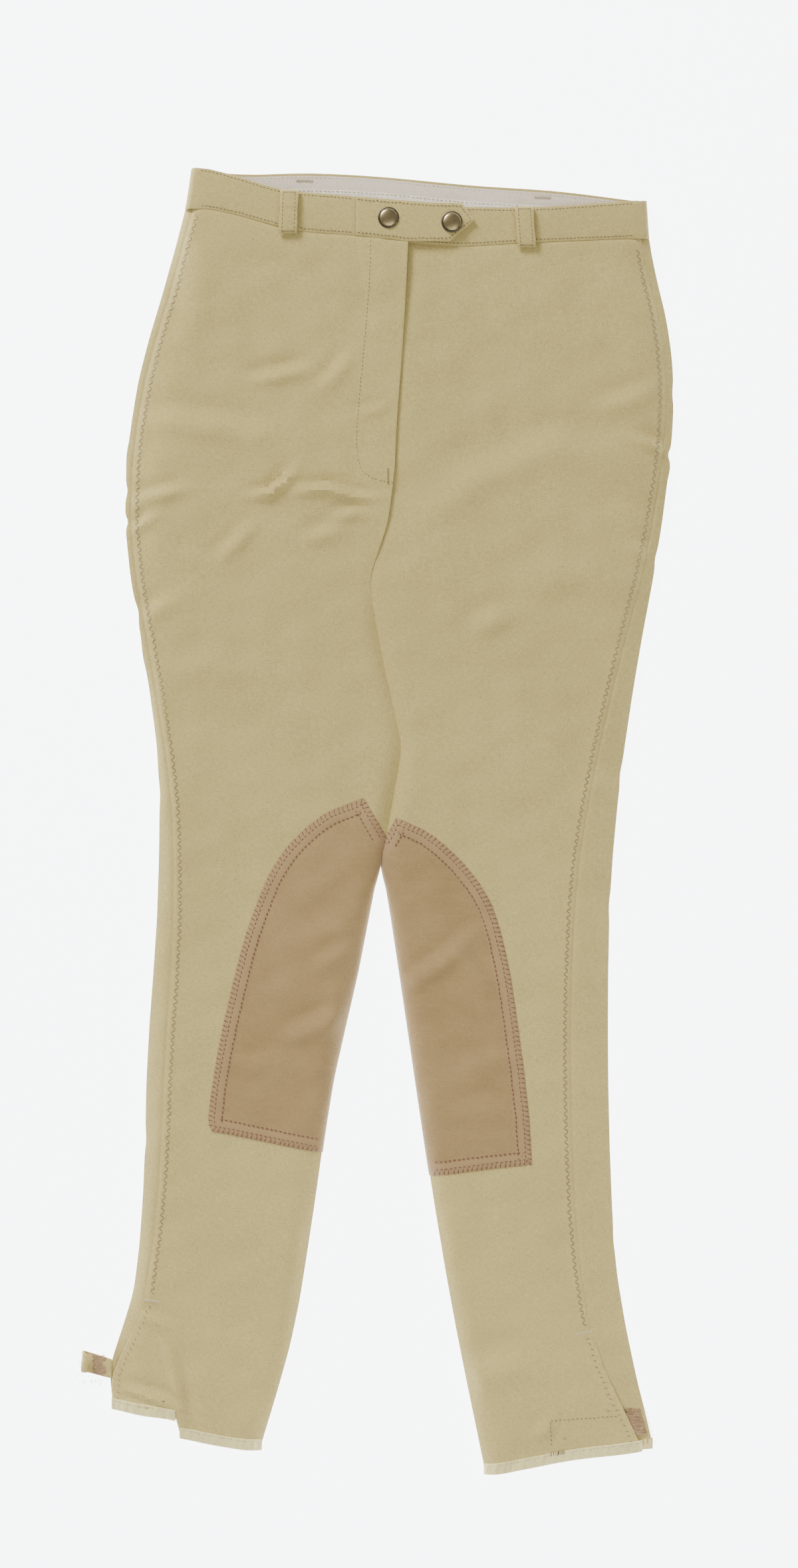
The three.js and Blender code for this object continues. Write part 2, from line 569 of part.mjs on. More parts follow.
// The right ankle's hook tab runs out past the edge, and its end is rolled up.
const tabCentre = -393 * along;
const tabRoot = backEdgeRight(tabCentre) - 2 * gap;
const tabHalf = 6.5;
function tabPlace(u, v) {
  const rolled = 1.35 * Math.PI * tabRoll;
  const out = u * (tabLength - 4 + rolled);
  const straight = Math.min(out, tabLength - 4);
  const turn = (out - straight) / tabRoll;
  const x = tabRoot - straight - tabRoll * Math.sin(turn);
  const y = tabCentre + (v - 0.5) * 2 * tabHalf + 0.3 * straight;
  return new THREE.Vector3(x, y, cloth / 2 + tabRoll * (1 - Math.cos(turn)));
}
add('ankle_tab_right', sheet(tabPlace, cloth, 14, 1), 'cloth');
const onTab = ([out, side]) => [tabRoot - out, tabCentre + side + 0.3 * out];
const hookPadRight = [[1, -5.5], [1, 5.5], [10, 5.5], [10, -5.5]].map(onTab);
add('hook_pad_right', slab(hookPadRight, padSeat, padThickness), 'hook');

// The origin is under the middle of the whole, on the surface.
const box = new THREE.Box3().setFromObject(breeches);
const centre = box.getCenter(new THREE.Vector3());
breeches.position.set(-centre.x, -centre.y, -box.min.z);

export default breeches;
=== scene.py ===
import json
import math

import bmesh
import bpy
import numpy as np
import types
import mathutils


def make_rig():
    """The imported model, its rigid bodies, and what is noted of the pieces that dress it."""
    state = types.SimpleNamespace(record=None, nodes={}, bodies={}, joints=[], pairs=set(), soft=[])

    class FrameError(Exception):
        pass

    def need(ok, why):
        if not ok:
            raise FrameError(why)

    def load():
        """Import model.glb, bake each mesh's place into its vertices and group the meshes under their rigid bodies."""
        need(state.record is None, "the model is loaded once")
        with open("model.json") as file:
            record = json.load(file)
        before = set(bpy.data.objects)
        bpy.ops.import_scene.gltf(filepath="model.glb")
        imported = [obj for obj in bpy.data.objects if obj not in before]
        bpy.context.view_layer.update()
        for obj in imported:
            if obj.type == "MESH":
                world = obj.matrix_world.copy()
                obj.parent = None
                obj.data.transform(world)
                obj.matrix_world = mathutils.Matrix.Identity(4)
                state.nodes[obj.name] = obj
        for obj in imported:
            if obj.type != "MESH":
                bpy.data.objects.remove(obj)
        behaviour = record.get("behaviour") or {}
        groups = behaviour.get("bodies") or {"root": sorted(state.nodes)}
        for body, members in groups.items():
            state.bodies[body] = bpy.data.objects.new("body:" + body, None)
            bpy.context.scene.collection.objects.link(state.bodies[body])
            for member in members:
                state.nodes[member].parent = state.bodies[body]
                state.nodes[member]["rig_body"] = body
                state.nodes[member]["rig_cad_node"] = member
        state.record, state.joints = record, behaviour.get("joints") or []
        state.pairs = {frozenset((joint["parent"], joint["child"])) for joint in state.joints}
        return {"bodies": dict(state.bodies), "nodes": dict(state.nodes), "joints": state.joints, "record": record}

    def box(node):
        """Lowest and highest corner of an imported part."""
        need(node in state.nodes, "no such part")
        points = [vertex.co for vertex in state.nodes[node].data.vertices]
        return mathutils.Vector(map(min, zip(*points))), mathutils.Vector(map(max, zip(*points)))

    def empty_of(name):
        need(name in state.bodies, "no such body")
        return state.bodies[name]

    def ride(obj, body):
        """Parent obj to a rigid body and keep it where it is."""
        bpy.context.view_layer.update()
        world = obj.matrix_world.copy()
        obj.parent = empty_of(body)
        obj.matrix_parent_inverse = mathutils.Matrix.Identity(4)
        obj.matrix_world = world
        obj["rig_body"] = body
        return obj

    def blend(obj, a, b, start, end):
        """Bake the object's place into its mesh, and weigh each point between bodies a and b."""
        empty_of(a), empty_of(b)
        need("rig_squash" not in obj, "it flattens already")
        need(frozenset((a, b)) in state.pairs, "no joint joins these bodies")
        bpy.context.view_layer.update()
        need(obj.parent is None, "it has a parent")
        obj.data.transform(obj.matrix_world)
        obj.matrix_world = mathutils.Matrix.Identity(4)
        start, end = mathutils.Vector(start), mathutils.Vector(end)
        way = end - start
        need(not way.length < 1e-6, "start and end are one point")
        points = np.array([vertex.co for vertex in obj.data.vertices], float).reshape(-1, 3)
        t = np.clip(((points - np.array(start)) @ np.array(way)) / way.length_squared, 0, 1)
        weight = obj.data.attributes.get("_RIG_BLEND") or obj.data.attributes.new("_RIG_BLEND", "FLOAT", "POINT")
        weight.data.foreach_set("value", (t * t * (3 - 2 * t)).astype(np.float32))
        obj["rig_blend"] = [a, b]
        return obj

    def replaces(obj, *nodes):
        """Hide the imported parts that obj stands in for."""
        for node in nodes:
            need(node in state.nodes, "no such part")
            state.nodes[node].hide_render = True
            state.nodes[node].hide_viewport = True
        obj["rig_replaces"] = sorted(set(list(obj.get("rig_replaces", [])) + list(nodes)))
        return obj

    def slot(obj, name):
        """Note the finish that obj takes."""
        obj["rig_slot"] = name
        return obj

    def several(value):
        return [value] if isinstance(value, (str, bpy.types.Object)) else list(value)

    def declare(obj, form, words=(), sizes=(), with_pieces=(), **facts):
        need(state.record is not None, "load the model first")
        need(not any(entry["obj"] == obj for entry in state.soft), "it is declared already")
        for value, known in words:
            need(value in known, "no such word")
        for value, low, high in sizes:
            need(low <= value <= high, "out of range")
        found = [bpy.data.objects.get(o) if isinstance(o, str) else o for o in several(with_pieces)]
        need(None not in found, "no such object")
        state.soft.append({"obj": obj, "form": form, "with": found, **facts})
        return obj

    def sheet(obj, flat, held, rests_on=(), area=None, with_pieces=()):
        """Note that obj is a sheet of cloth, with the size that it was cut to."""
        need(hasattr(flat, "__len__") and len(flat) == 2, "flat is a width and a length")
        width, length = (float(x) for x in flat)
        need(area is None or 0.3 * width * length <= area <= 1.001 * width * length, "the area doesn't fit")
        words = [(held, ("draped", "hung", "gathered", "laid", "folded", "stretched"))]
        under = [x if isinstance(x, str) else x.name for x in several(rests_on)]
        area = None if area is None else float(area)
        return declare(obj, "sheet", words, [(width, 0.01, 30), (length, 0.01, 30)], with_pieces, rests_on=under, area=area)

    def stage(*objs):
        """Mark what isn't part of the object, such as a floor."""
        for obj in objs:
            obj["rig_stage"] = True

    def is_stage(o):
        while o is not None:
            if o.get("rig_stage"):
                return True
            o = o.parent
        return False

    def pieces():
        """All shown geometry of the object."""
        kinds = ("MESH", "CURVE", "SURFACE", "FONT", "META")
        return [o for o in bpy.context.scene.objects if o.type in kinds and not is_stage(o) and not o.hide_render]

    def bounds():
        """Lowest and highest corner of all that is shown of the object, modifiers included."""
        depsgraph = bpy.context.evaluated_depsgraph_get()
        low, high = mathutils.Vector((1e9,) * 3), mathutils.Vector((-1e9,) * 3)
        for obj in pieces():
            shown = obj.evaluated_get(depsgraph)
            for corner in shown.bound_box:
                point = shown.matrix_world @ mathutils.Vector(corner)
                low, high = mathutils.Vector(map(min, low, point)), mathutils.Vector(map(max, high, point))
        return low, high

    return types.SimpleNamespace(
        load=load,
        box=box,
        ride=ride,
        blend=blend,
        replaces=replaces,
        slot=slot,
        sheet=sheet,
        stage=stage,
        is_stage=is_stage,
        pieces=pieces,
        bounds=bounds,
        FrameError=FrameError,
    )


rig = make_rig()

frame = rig.load()
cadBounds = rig.bounds()
print("frame loaded:", len(frame["nodes"]), "nodes")

# Everything below is worked out in millimetres and made metres when a mesh is built.
metre = 0.001
chance = np.random.default_rng(11)
sides = {"right": -1, "left": 1}  # the wearer's own sides: right lies at -X


def ease(value, start, end):
    share = np.clip((value - start) / (end - start), 0, 1)
    return share * share * (3 - 2 * share)


def blendOf(a, b, share):
    return a + (b - a) * share


# Outlines, read from the frame's own pieces by slicing them across or along.
edgeStore = {}


def nodeEdges(name):
    if name not in edgeStore:
        mesh = frame["nodes"][name].data
        points = np.array([v.co for v in mesh.vertices]) / metre
        pairs = np.array([e.vertices[:] for e in mesh.edges])
        edgeStore[name] = (points[pairs[:, 0]], points[pairs[:, 1]])
    return edgeStore[name]


def sliceOf(names, key, axis):
    lows, highs = [], []
    for name in names:
        a, b = nodeEdges(name)
        crossing = (a[:, axis] - key) * (b[:, axis] - key) < 0
        if crossing.any():
            a, b = a[crossing], b[crossing]
            cut = a + (b - a) * ((key - a[:, axis]) / (b[:, axis] - a[:, axis]))[:, None]
            lows.append(cut.min(0))
            highs.append(cut.max(0))
    return (np.min(lows, 0), np.max(highs, 0)) if lows else None


def lineAlong(names, low, high, axis, pick, soften=10, step=4, skip=None, extend=False, trim=0):
    # axis 1 gives x against y, axis 0 gives y against x; pick 0 is the lowest, 1 the highest
    keys, values = [], []
    for key in np.arange(low, high + step / 2, step):
        cut = sliceOf(names, key + 0.013, axis)
        if cut is not None and not (skip and skip[0] < key < skip[1]):
            keys.append(key)
            values.append(cut[pick][1 - axis])
    last = len(keys) - trim
    even = np.arange(keys[trim], keys[last - 1] + step / 2, step)
    values = np.interp(even, keys[trim:last], values[trim:last])
    for turn in range(soften):
        values[1:-1] = values[1:-1] / 2 + (values[:-2] + values[2:]) / 4
    slopes = [(values[4] - values[0]) / (4 * step), (values[-1] - values[-5]) / (4 * step)]

    def line(place):
        place = np.asarray(place, float)
        beyond = np.minimum(place - even[0], 0) * slopes[0] + np.maximum(place - even[-1], 0) * slopes[1]
        return np.interp(place, even, values) + (beyond if extend else 0)
    return line


def heightOf(node, top=1):
    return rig.box(node)[top][2] / metre


def boxOf(node):
    return (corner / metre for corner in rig.box(node))


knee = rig.box("front_thigh_right")[0][1] / metre
slit = {side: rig.box(f"side_seam_lower_{side}")[0][1] / metre for side in sides}
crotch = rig.box("inseam_upper_right")[1][1] / metre
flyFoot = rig.box("fly_flap")[0][1] / metre
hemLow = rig.box("hem_binding_back_left")[0][1] / metre


def meetingLine(rightLine, leftLine, side):
    # the two halves meet on one line down to the fork, and part below it
    own = rightLine if side == "right" else leftLine
    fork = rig.box("knee_patch_upper_left")[0][1] / metre + 84

    def line(y):
        lap = 0.15 + 0.95 * ease(y, fork + 2, fork + 20)
        shared = (rightLine(y) + leftLine(y)) / 2 - sides[side] * lap
        return blendOf(own(y), shared, ease(y, fork - 26, fork + 6))
    return line


sideDents = {  # height along the side, depth, width
    "right": [(236, 1.3, 5), (214, 1.8, 4), (262, -0.8, 9), (150, 1.4, 7), (118, -0.8, 10), (20, 0.7, 9),
              (-228, 0.8, 8)],
    "left": [(262, 1.6, 4), (252, -0.7, 6), (306, 0.9, 7), (188, 0.9, 6), (34, 0.8, 8), (-60, 0.7, 9), (-300, 0.6, 9)],
}
insides, underBand = {}, 392  # above that height the side seam follows the outer fold
for side, sign in sides.items():
    names = [f"inseam_upper_{side}", f"inseam_lower_{side}", f"back_thigh_{side}", f"back_shin_{side}"]
    insides[side] = lineAlong(names, hemLow + 12, 402, 1, 0 if sign > 0 else 1, 6, extend=True)

legs = {}
for side, sign in sides.items():
    out, into = (1, 0) if sign > 0 else (0, 1)
    seams = [f"side_seam_upper_{side}", f"side_seam_lower_{side}"]
    backs = [f"back_thigh_{side}", f"back_shin_{side}", "waistband_back"]
    fronts = [f"front_thigh_{side}", f"front_shin_{side}"]
    ankle = slit[side] - 68
    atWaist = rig.box("waistband_front_left" if sign > 0 else "waistband_back")[1][1] / metre - 3
    outer = lineAlong(seams + backs, ankle, atWaist, 1, out, 6, skip=(slit[side] - 40, slit[side] + 2),
                      extend=True)
    edge = lineAlong(fronts, slit[side] - 72, 400, 1, out, 6, extend=True)
    lower = lineAlong(fronts, slit[side] - 72, slit[side] + 40, 1, out, 1, 3, extend=True)
    atTop = float(outer(underBand) - edge(underBand))

    def seam(y, outer=outer, edge=edge, lower=lower, atTop=atTop, side=side):
        line = blendOf(edge(y), lower(y), ease(-y, -slit[side] - 30, -slit[side] - 10))
        return np.where(np.asarray(y) > underBand, outer(y) - atTop, line)

    def dented(y, outer=outer, side=side, sign=sign):
        # the silhouette pulls in a little where a crease runs out over the side
        dents = sum(depth * np.exp(-(((np.asarray(y) - at) / width) ** 2)) for at, depth, width in sideDents[side])
        return outer(y) - sign * dents

    legs[side] = {
        "outer": dented,
        "seam": seam,
        "innerBack": meetingLine(insides["right"], insides["left"], side),
        "slitEdge": lineAlong([f"ankle_flap_{side}"], ankle, slit[side], 1, out, 2, 3, extend=True),
    }
    for part in ("front", "back", "flap"):
        legs[side][part] = lineAlong([f"hem_binding_{part}_{side}"], -200, 200, 0, 0, 2, 3, extend=True, trim=1)
    legs[side]["inner"] = legs[side]["innerBack"]
flySlant = lineAlong(["front_thigh_right"], flyFoot + 6, 404, 1, 1, 0, 4, extend=True)
flyEdge = legs["right"]["innerBack"]
legs["right"]["inner"] = lambda y: np.where(
    np.asarray(y) > flyFoot, np.minimum(flyEdge(y), flySlant(y) + 0.15), flyEdge(y))
bandParts = {  # the band's pieces, where they start, and where their lower and upper edges end
    "right": (["waistband_front_right", "waist_tab"], -122, (24, 40)),
    "left": (["waistband_front_left"], -4, (180, 180)),
    "back": (["waistband_back"], -126, (184, 184)),
}
bandFoot, bandTop = (
    {part: lineAlong(nodes, start, ends[pick], 0, pick, 3) for part, (nodes, start, ends) in bandParts.items()}
    for pick in (0, 1))
print("outlines read from the frame")

# Creases: points along each, its width, and its height.
creases = {
    "right": [
        ([(-92, 312), (-70, 316), (-47, 321)], 5, 2.4),
        ([(-39, 306), (-28, 318), (-17, 334)], 5, 1.8),
        ([(-15, 289), (-2, 291), (8, 296)], 4, 1.0),
        ([(-166, 284), (-120, 279), (-74, 270)], 9, 2.2),
        ([(-93, 231), (-78, 232), (-66, 240), (-56, 254)], 3.6, 3.0),
        ([(-60, 234), (-34, 236), (-14, 229), (4, 231)], 3.8, 2.8),
        ([(-32, 214), (-18, 219), (-6, 217)], 4.5, 2.0),
        ([(-54, 198), (-38, 203), (-24, 208)], 5.5, 1.6),
        ([(-114, 184), (-100, 197), (-86, 213)], 5, 2.0),
        ([(-176, 229), (-156, 231), (-134, 236)], 4.6, 2.2),
        ([(-179, 206), (-168, 211), (-156, 218)], 4, 2.4),
        ([(-172, 146), (-158, 149), (-146, 156)], 6, 1.8),
        ([(-150, 100), (-120, 108), (-80, 104)], 12, 1.2),
        ([(-66, -158), (-44, -148), (-20, -137)], 7, 2.2),
        ([(-40, -104), (-28, -96), (-16, -92)], 6, 1.5),
        ([(-60, -90), (-40, -84), (-16, -72)], 10, 1.8),
        ([(-110, -170), (-90, -176), (-74, -172)], 6, 1.0),
        ([(-184, -405), (-168, -409), (-152, -414), (-142, -420)], 4, 2.6),
        ([(-188, -414), (-172, -417), (-156, -421)], 3, 1.6),
        ([(-152, -372), (-145, -392), (-141, -414), (-138, -436)], 5, 2.2),
        ([(-120, -362), (-106, -372), (-98, -390)], 10, 1.2),
        ([(-172, -352), (-158, -356), (-146, -362)], 4, 1.4),
    ],
    "left": [
        ([(160, 293), (182, 299), (206, 310)], 7, 2.0),
        ([(182, 274), (196, 268), (211, 259)], 4, 2.6),
        ([(34, 216), (76, 244), (132, 262), (190, 252)], 13, 2.4),
        ([(66, 134), (80, 140), (97, 148)], 8, 1.8),
        ([(100, 168), (130, 176), (168, 172)], 12, 1.4),
        ([(178, 196), (190, 190), (202, 186)], 6, 1.6),
        ([(150, 30), (164, 24), (172, 20)], 8, 1.4),
        ([(14, -121), (30, -112), (46, -103), (73, -78)], 6, 1.7),
        ([(46, -74), (62, -98), (74, -118), (87, -150)], 6.5, 1.4),
        ([(60, -180), (84, -170), (100, -172)], 7, 1.2),
        ([(44, -214), (70, -206), (96, -210)], 7, 1.0),
        ([(62, -399), (84, -394), (108, -388)], 12, 2.0),
        ([(112, -440), (120, -434), (126, -424)], 5, 1.2),
    ],
}


def creaseHeight(side, x, y):
    total = np.zeros_like(x)
    for points, width, height in creases[side]:
        points = np.array(points, float)
        nearest, across, along = np.full(x.shape, 1e9), np.zeros_like(x), np.zeros_like(x)
        lengths = np.linalg.norm(np.diff(points, axis=0), axis=1)
        walked = 0
        for a, b, length in zip(points[:-1], points[1:], lengths):
            run = (b - a) / length
            t = np.clip((x - a[0]) * run[0] + (y - a[1]) * run[1], 0, length)
            dx, dy = x - a[0] - run[0] * t, y - a[1] - run[1] * t
            distance = np.hypot(dx, dy)
            closer = distance < nearest
            nearest = np.where(closer, distance, nearest)
            across = np.where(closer, run[0] * dy - run[1] * dx, across)
            along = np.where(closer, walked + t, along)
            walked += length
        if points[-1, 0] < points[0, 0]:
            across = -across
        taper = np.sin(np.pi * np.clip(0.06 + 0.88 * along / walked, 0, 1))
        past = np.sqrt(np.maximum(nearest**2 - across**2, 0))
        fade = taper * np.exp(-((past / width) ** 2))
        ridge = np.exp(-((across / width) ** 2))
        hollow = np.exp(-(((across - 1.7 * width) / (0.9 * width)) ** 2))
        total += height * fade * (ridge - 0.55 * hollow)
    return total


waves = ((9, 70, 190, 0.34), (14, 22, 48, 0.10))  # how many, shortest, longest, height
swells = [
    (chance.uniform(short, long), chance.uniform(0, 2 * math.pi), chance.uniform(0, 2 * math.pi), height)
    for count, short, long, height in waves for n in range(count)
]


def swellHeight(x, y):
    total = np.zeros_like(x)
    for wave, heading, phase, height in swells:
        total += height * np.sin(2 * np.pi * (x * math.cos(heading) + y * math.sin(heading)) / wave + phase)
    return total


clothFront = {
    "fold": 3.4,          # height of the outer fold
    "leg": 9.3,           # top of the front, flat part
    "hipShoulder": 36,    # how far in the hips are rounded
    "seamShoulder": 4,    # how far inside the side seam the leg is rounded
    "innerShoulder": 15,
    "seamGroove": 0.55,
    "lapRise": 0.25,
    "creaseShare": 1.35,
    "overlap": 1.5,       # right leg over the left one, between crotch and fork
    "widened": (60, 190),  # where the legs' narrow shoulder becomes the hips' wide one
    "halved": (120, 200),  # where the two legs become one front
    "nearBand": (385, 425),
    "bandShoulder": 14,
    "rises": {"right": ((2.2, 155, 240), (4.0, 325, 402)), "left": ((1.6, 300, 400),)},  # height, from, to
    "sliderRoom": (1, 251, 11, 15),  # where the lowered zip slider lies, and how far round it the cloth is smooth
    "pucker": 0.12,
    "puckerPitch": 5.2,
    "roundness": 2.1,
    "innerRoundness": 2.2,
    "lapFromSeam": 4.6,
}


def frontHeight(side, x, y):
    sign, lines, spec = sides[side], legs[side], clothFront
    toOuter = np.maximum(sign * (lines["outer"](y) - x), 0)
    toInner = np.maximum(sign * (x - lines["inner"](y)), 0)
    wrap = np.abs(lines["outer"](y) - lines["seam"](np.maximum(y, slit[side])))
    reach = blendOf(wrap + spec["seamShoulder"], spec["hipShoulder"], ease(y, *spec["widened"]))
    reach = blendOf(reach, spec["bandShoulder"], ease(y, *spec["nearBand"]))
    top = spec["leg"]
    for height, start, end in spec["rises"][side]:
        top = top + height * ease(y, start, end)
    outward = 1 - (1 - np.clip(toOuter / reach, 0, 1)) ** spec["roundness"]
    inward = 1 - (1 - np.clip(toInner / spec["innerShoulder"], 0, 1)) ** spec["innerRoundness"]
    legPart = 1 - ease(y, *spec["halved"])
    inward = blendOf(1, inward, legPart)
    atBand = ease(y - bandFoot[side](x), -34, -3)
    fold = blendOf(spec["fold"], (bandHigh[side] + bandLow) / 2 - 0.8, atBand)
    z = fold + (top - fold) * outward * inward
    if side == "right":
        z = z + spec["overlap"] * ease(y, -60, 10) * legPart * np.exp(-toInner / 12)
    loose = np.clip(toOuter / 12, 0.25, 1) * blendOf(1, np.clip(toInner / 10, 0.2, 1), legPart)
    loose = loose * (1 - 0.85 * ease(y, 395, 415))
    slideX, slideY, wide, tall = spec["sliderRoom"]
    loose = loose * (1 - 0.9 * np.exp(-(((x - slideX) / wide) ** 4) - ((y - slideY) / tall) ** 4))
    z = z + loose * (spec["creaseShare"] * creaseHeight(side, x, y) + swellHeight(x, y))
    beside = sign * (x - lines["seam"](y))
    sewn = ease(y, slit[side] - 2, slit[side] + 2)
    pucker = spec["pucker"] * np.sin(2 * np.pi * y / spec["puckerPitch"])
    z = z - sewn * spec["seamGroove"] * np.exp(-((beside / 1.1) ** 2))
    z = z + sewn * (spec["lapRise"] + pucker) * np.exp(-(((beside + spec["lapFromSeam"]) / 3.0) ** 2))
    return z


bandHigh = {"right": heightOf("waistband_front_right"), "left": heightOf("waistband_front_left")}
bandLow = heightOf("waistband_back", 0)


def takeUp(piece):
    bpy.ops.object.select_all(action="DESELECT")
    piece.select_set(True)
    bpy.context.view_layer.objects.active = piece


def smoothShade(piece, degrees=35):
    takeUp(piece)
    bpy.ops.object.shade_smooth_by_angle(angle=math.radians(degrees))


def applyModifier(piece, kind, **settings):
    takeUp(piece)
    modifier = piece.modifiers.new(kind.title(), kind)
    for setting, value in settings.items():
        setattr(modifier, setting, value)
    bpy.ops.object.modifier_apply(modifier=modifier.name)


def pieceFrom(name, points, faces, finish):
    mesh = bpy.data.meshes.new(name)
    mesh.from_pydata((np.asarray(points, float) * metre).tolist(), [], [list(map(int, f)) for f in faces])
    mesh.update()
    piece = bpy.data.objects.new(name, mesh)
    bpy.context.scene.collection.objects.link(piece)
    mesh.materials.append(finish)
    return piece


def reworked(piece, work):
    form = bmesh.new()
    form.from_mesh(piece.data)
    work(form)
    form.to_mesh(piece.data)
    form.free()
    return piece


def joinEdges(form):
    bmesh.ops.remove_doubles(form, verts=form.verts, dist=2e-6)
    bmesh.ops.dissolve_degenerate(form, edges=form.edges, dist=1e-7)


def attach(piece, move, slot, *nodes):
    # move names the body the piece rides, or holds the bend it follows from one body to the next
    if isinstance(move, str):
        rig.ride(piece, move)
    else:
        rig.blend(piece, **move)
    if nodes:
        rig.replaces(piece, *nodes)
    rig.slot(piece, slot)
    return piece


def sewGrids(name, grids, finish, flip=False, thickness=0.9, edgeRound=0.0):
    # joins grids of points where their edges meet, then gives the cloth its thickness inwards
    points, faces, count = [], [], 0
    for grid in grids:
        rows, cols = grid.shape[:2]
        index = count + np.arange(rows * cols).reshape(rows, cols)
        quads = np.stack([index[:-1, :-1], index[:-1, 1:], index[1:, 1:], index[1:, :-1]], -1).reshape(-1, 4)
        faces.append(quads[:, ::-1] if flip else quads)
        points.append(grid.reshape(-1, 3))
        count += rows * cols
    piece = reworked(pieceFrom(name, np.concatenate(points), np.concatenate(faces), finish), joinEdges)
    if thickness:
        applyModifier(piece, "SOLIDIFY", thickness=thickness * metre, offset=-1, use_rim=True)
    if edgeRound:
        applyModifier(piece, "BEVEL", width=edgeRound * metre, segments=2, limit_method="ANGLE",
                      angle_limit=math.radians(50))
    smoothShade(piece)
    return piece


def newFinish(name, roughness, sheen=0.0, metallic=0.0, specular=0.3):
    finish = bpy.data.materials.new(name)
    finish.use_nodes = True
    tree = finish.node_tree
    shader = tree.nodes["Principled BSDF"]
    shader.inputs["Roughness"].default_value = roughness
    shader.inputs["Metallic"].default_value = metallic
    shader.inputs["Sheen Weight"].default_value = sheen
    shader.inputs["Sheen Roughness"].default_value = 0.5
    shader.inputs["Specular IOR Level"].default_value = specular
    place = tree.nodes.new("ShaderNodeTexCoord").outputs["Object"]
    return finish, tree, shader, place


def grain(tree, place, scale, detail=2.0, turn=0.0, rough=0.5):
    turned = tree.nodes.new("ShaderNodeMapping")
    turned.inputs["Rotation"].default_value = (0, 0, turn)
    tree.links.new(place, turned.inputs["Vector"])
    stretched = tree.nodes.new("ShaderNodeMapping")
    stretched.inputs["Scale"].default_value = scale
    tree.links.new(turned.outputs["Vector"], stretched.inputs["Vector"])
    noise = tree.nodes.new("ShaderNodeTexNoise")
    noise.inputs["Scale"].default_value = 1.0
    noise.inputs["Detail"].default_value = detail
    noise.inputs["Roughness"].default_value = rough
    tree.links.new(stretched.outputs["Vector"], noise.inputs["Vector"])
    return noise.outputs["Fac"]


def tone(tree, factor, stops):
    ramp = tree.nodes.new("ShaderNodeValToRGB")
    while len(ramp.color_ramp.elements) < len(stops):
        ramp.color_ramp.elements.new(0.5)
    for element, (place, colour) in zip(ramp.color_ramp.elements, stops):
        element.position = place
        element.color = (*colour, 1) if hasattr(colour, "__len__") else (colour, colour, colour, 1)
    tree.links.new(factor, ramp.inputs["Fac"])
    return ramp.outputs["Color"]


def feed(tree, socket, value):
    if hasattr(value, "is_linked"):
        tree.links.new(value, socket)
    else:
        socket.default_value = value if isinstance(value, (int, float)) else (*value, 1)


def laid(tree, factor, under, over, way="MIX"):
    mix = tree.nodes.new("ShaderNodeMix")
    mix.data_type = "RGBA"
    mix.blend_type = way
    for socket, value in ((0, factor), (6, under), (7, over)):
        feed(tree, mix.inputs[socket], value)
    return mix.outputs[2]


def sums(tree, a, b, way="ADD"):
    node = tree.nodes.new("ShaderNodeMath")
    node.operation = way
    for socket, value in zip(node.inputs, (a, b)):
        feed(tree, socket, value)
    return node.outputs[0]


def coverWith(tree, shader, colour, height, depth):
    # the surface's colour, and a fine relief of the given depth in metres
    tree.links.new(colour, shader.inputs["Base Color"])
    bump = tree.nodes.new("ShaderNodeBump")
    bump.inputs["Distance"].default_value = depth
    tree.links.new(height, bump.inputs["Height"])
    tree.links.new(bump.outputs["Normal"], shader.inputs["Normal"])


def shaded(colour, factor):
    return tuple(min(1.0, c * factor) for c in colour)


def wovenFinish(name, colour, spread=0.17, thread=2300, slub=330, specks=0.5, roughness=0.92,
                sheen=0.1, depth=0.00022, lowerTone=1.0, twill=0.35, patchy=0.06):
    finish, tree, shader, place = newFinish(name, roughness, sheen)
    warp = grain(tree, place, (thread, slub, slub), 2)
    weft = grain(tree, place, (slub, thread, slub), 2)
    rib = grain(tree, place, (slub * 0.8, thread * 0.8, slub), 1, turn=0.9)
    weave = sums(tree, sums(tree, warp, weft), sums(tree, rib, twill, "MULTIPLY"))
    middle = (2 + twill) / 2
    shades = tone(tree, sums(tree, weave, 2 * middle, "DIVIDE"), [
        (0.36, shaded(colour, 1 - spread)), (0.5, colour), (0.64, shaded(colour, 1 + spread))])
    cloudy = tone(tree, grain(tree, place, (11, 14, 11), 3), [(0.3, 1 - patchy), (0.7, 1.0)])
    shades = laid(tree, 1.0, shades, cloudy, "MULTIPLY")
    # the lower legs are painted lighter towards the bottom: partly the cloth's own lighter tone, partly painted light
    # where more light fell on them
    if lowerTone != 1.0:
        axes = tree.nodes.new("ShaderNodeSeparateXYZ")
        tree.links.new(place, axes.inputs[0])
        spanned = tree.nodes.new("ShaderNodeMapRange")
        spanned.inputs["From Min"].default_value = 0.12
        spanned.inputs["From Max"].default_value = -0.40
        tree.links.new(axes.outputs["Y"], spanned.inputs["Value"])
        shades = laid(tree, spanned.outputs["Result"], shades,
                      laid(tree, 1.0, shades, (lowerTone, lowerTone, lowerTone * 1.03), "MULTIPLY"))
    if specks:
        flecks = tone(tree, grain(tree, place, (620, 880, 620), 1), [(0.715, 0.0), (0.75, specks)])
        shades = laid(tree, flecks, shades, shaded(colour, 0.42))
        neps = tone(tree, grain(tree, place, (700, 520, 600), 1, turn=1.3), [(0.72, 0.0), (0.75, specks)])
        shades = laid(tree, neps, shades, shaded(colour, 1.35))
    coverWith(tree, shader, shades, weave, depth)
    return finish


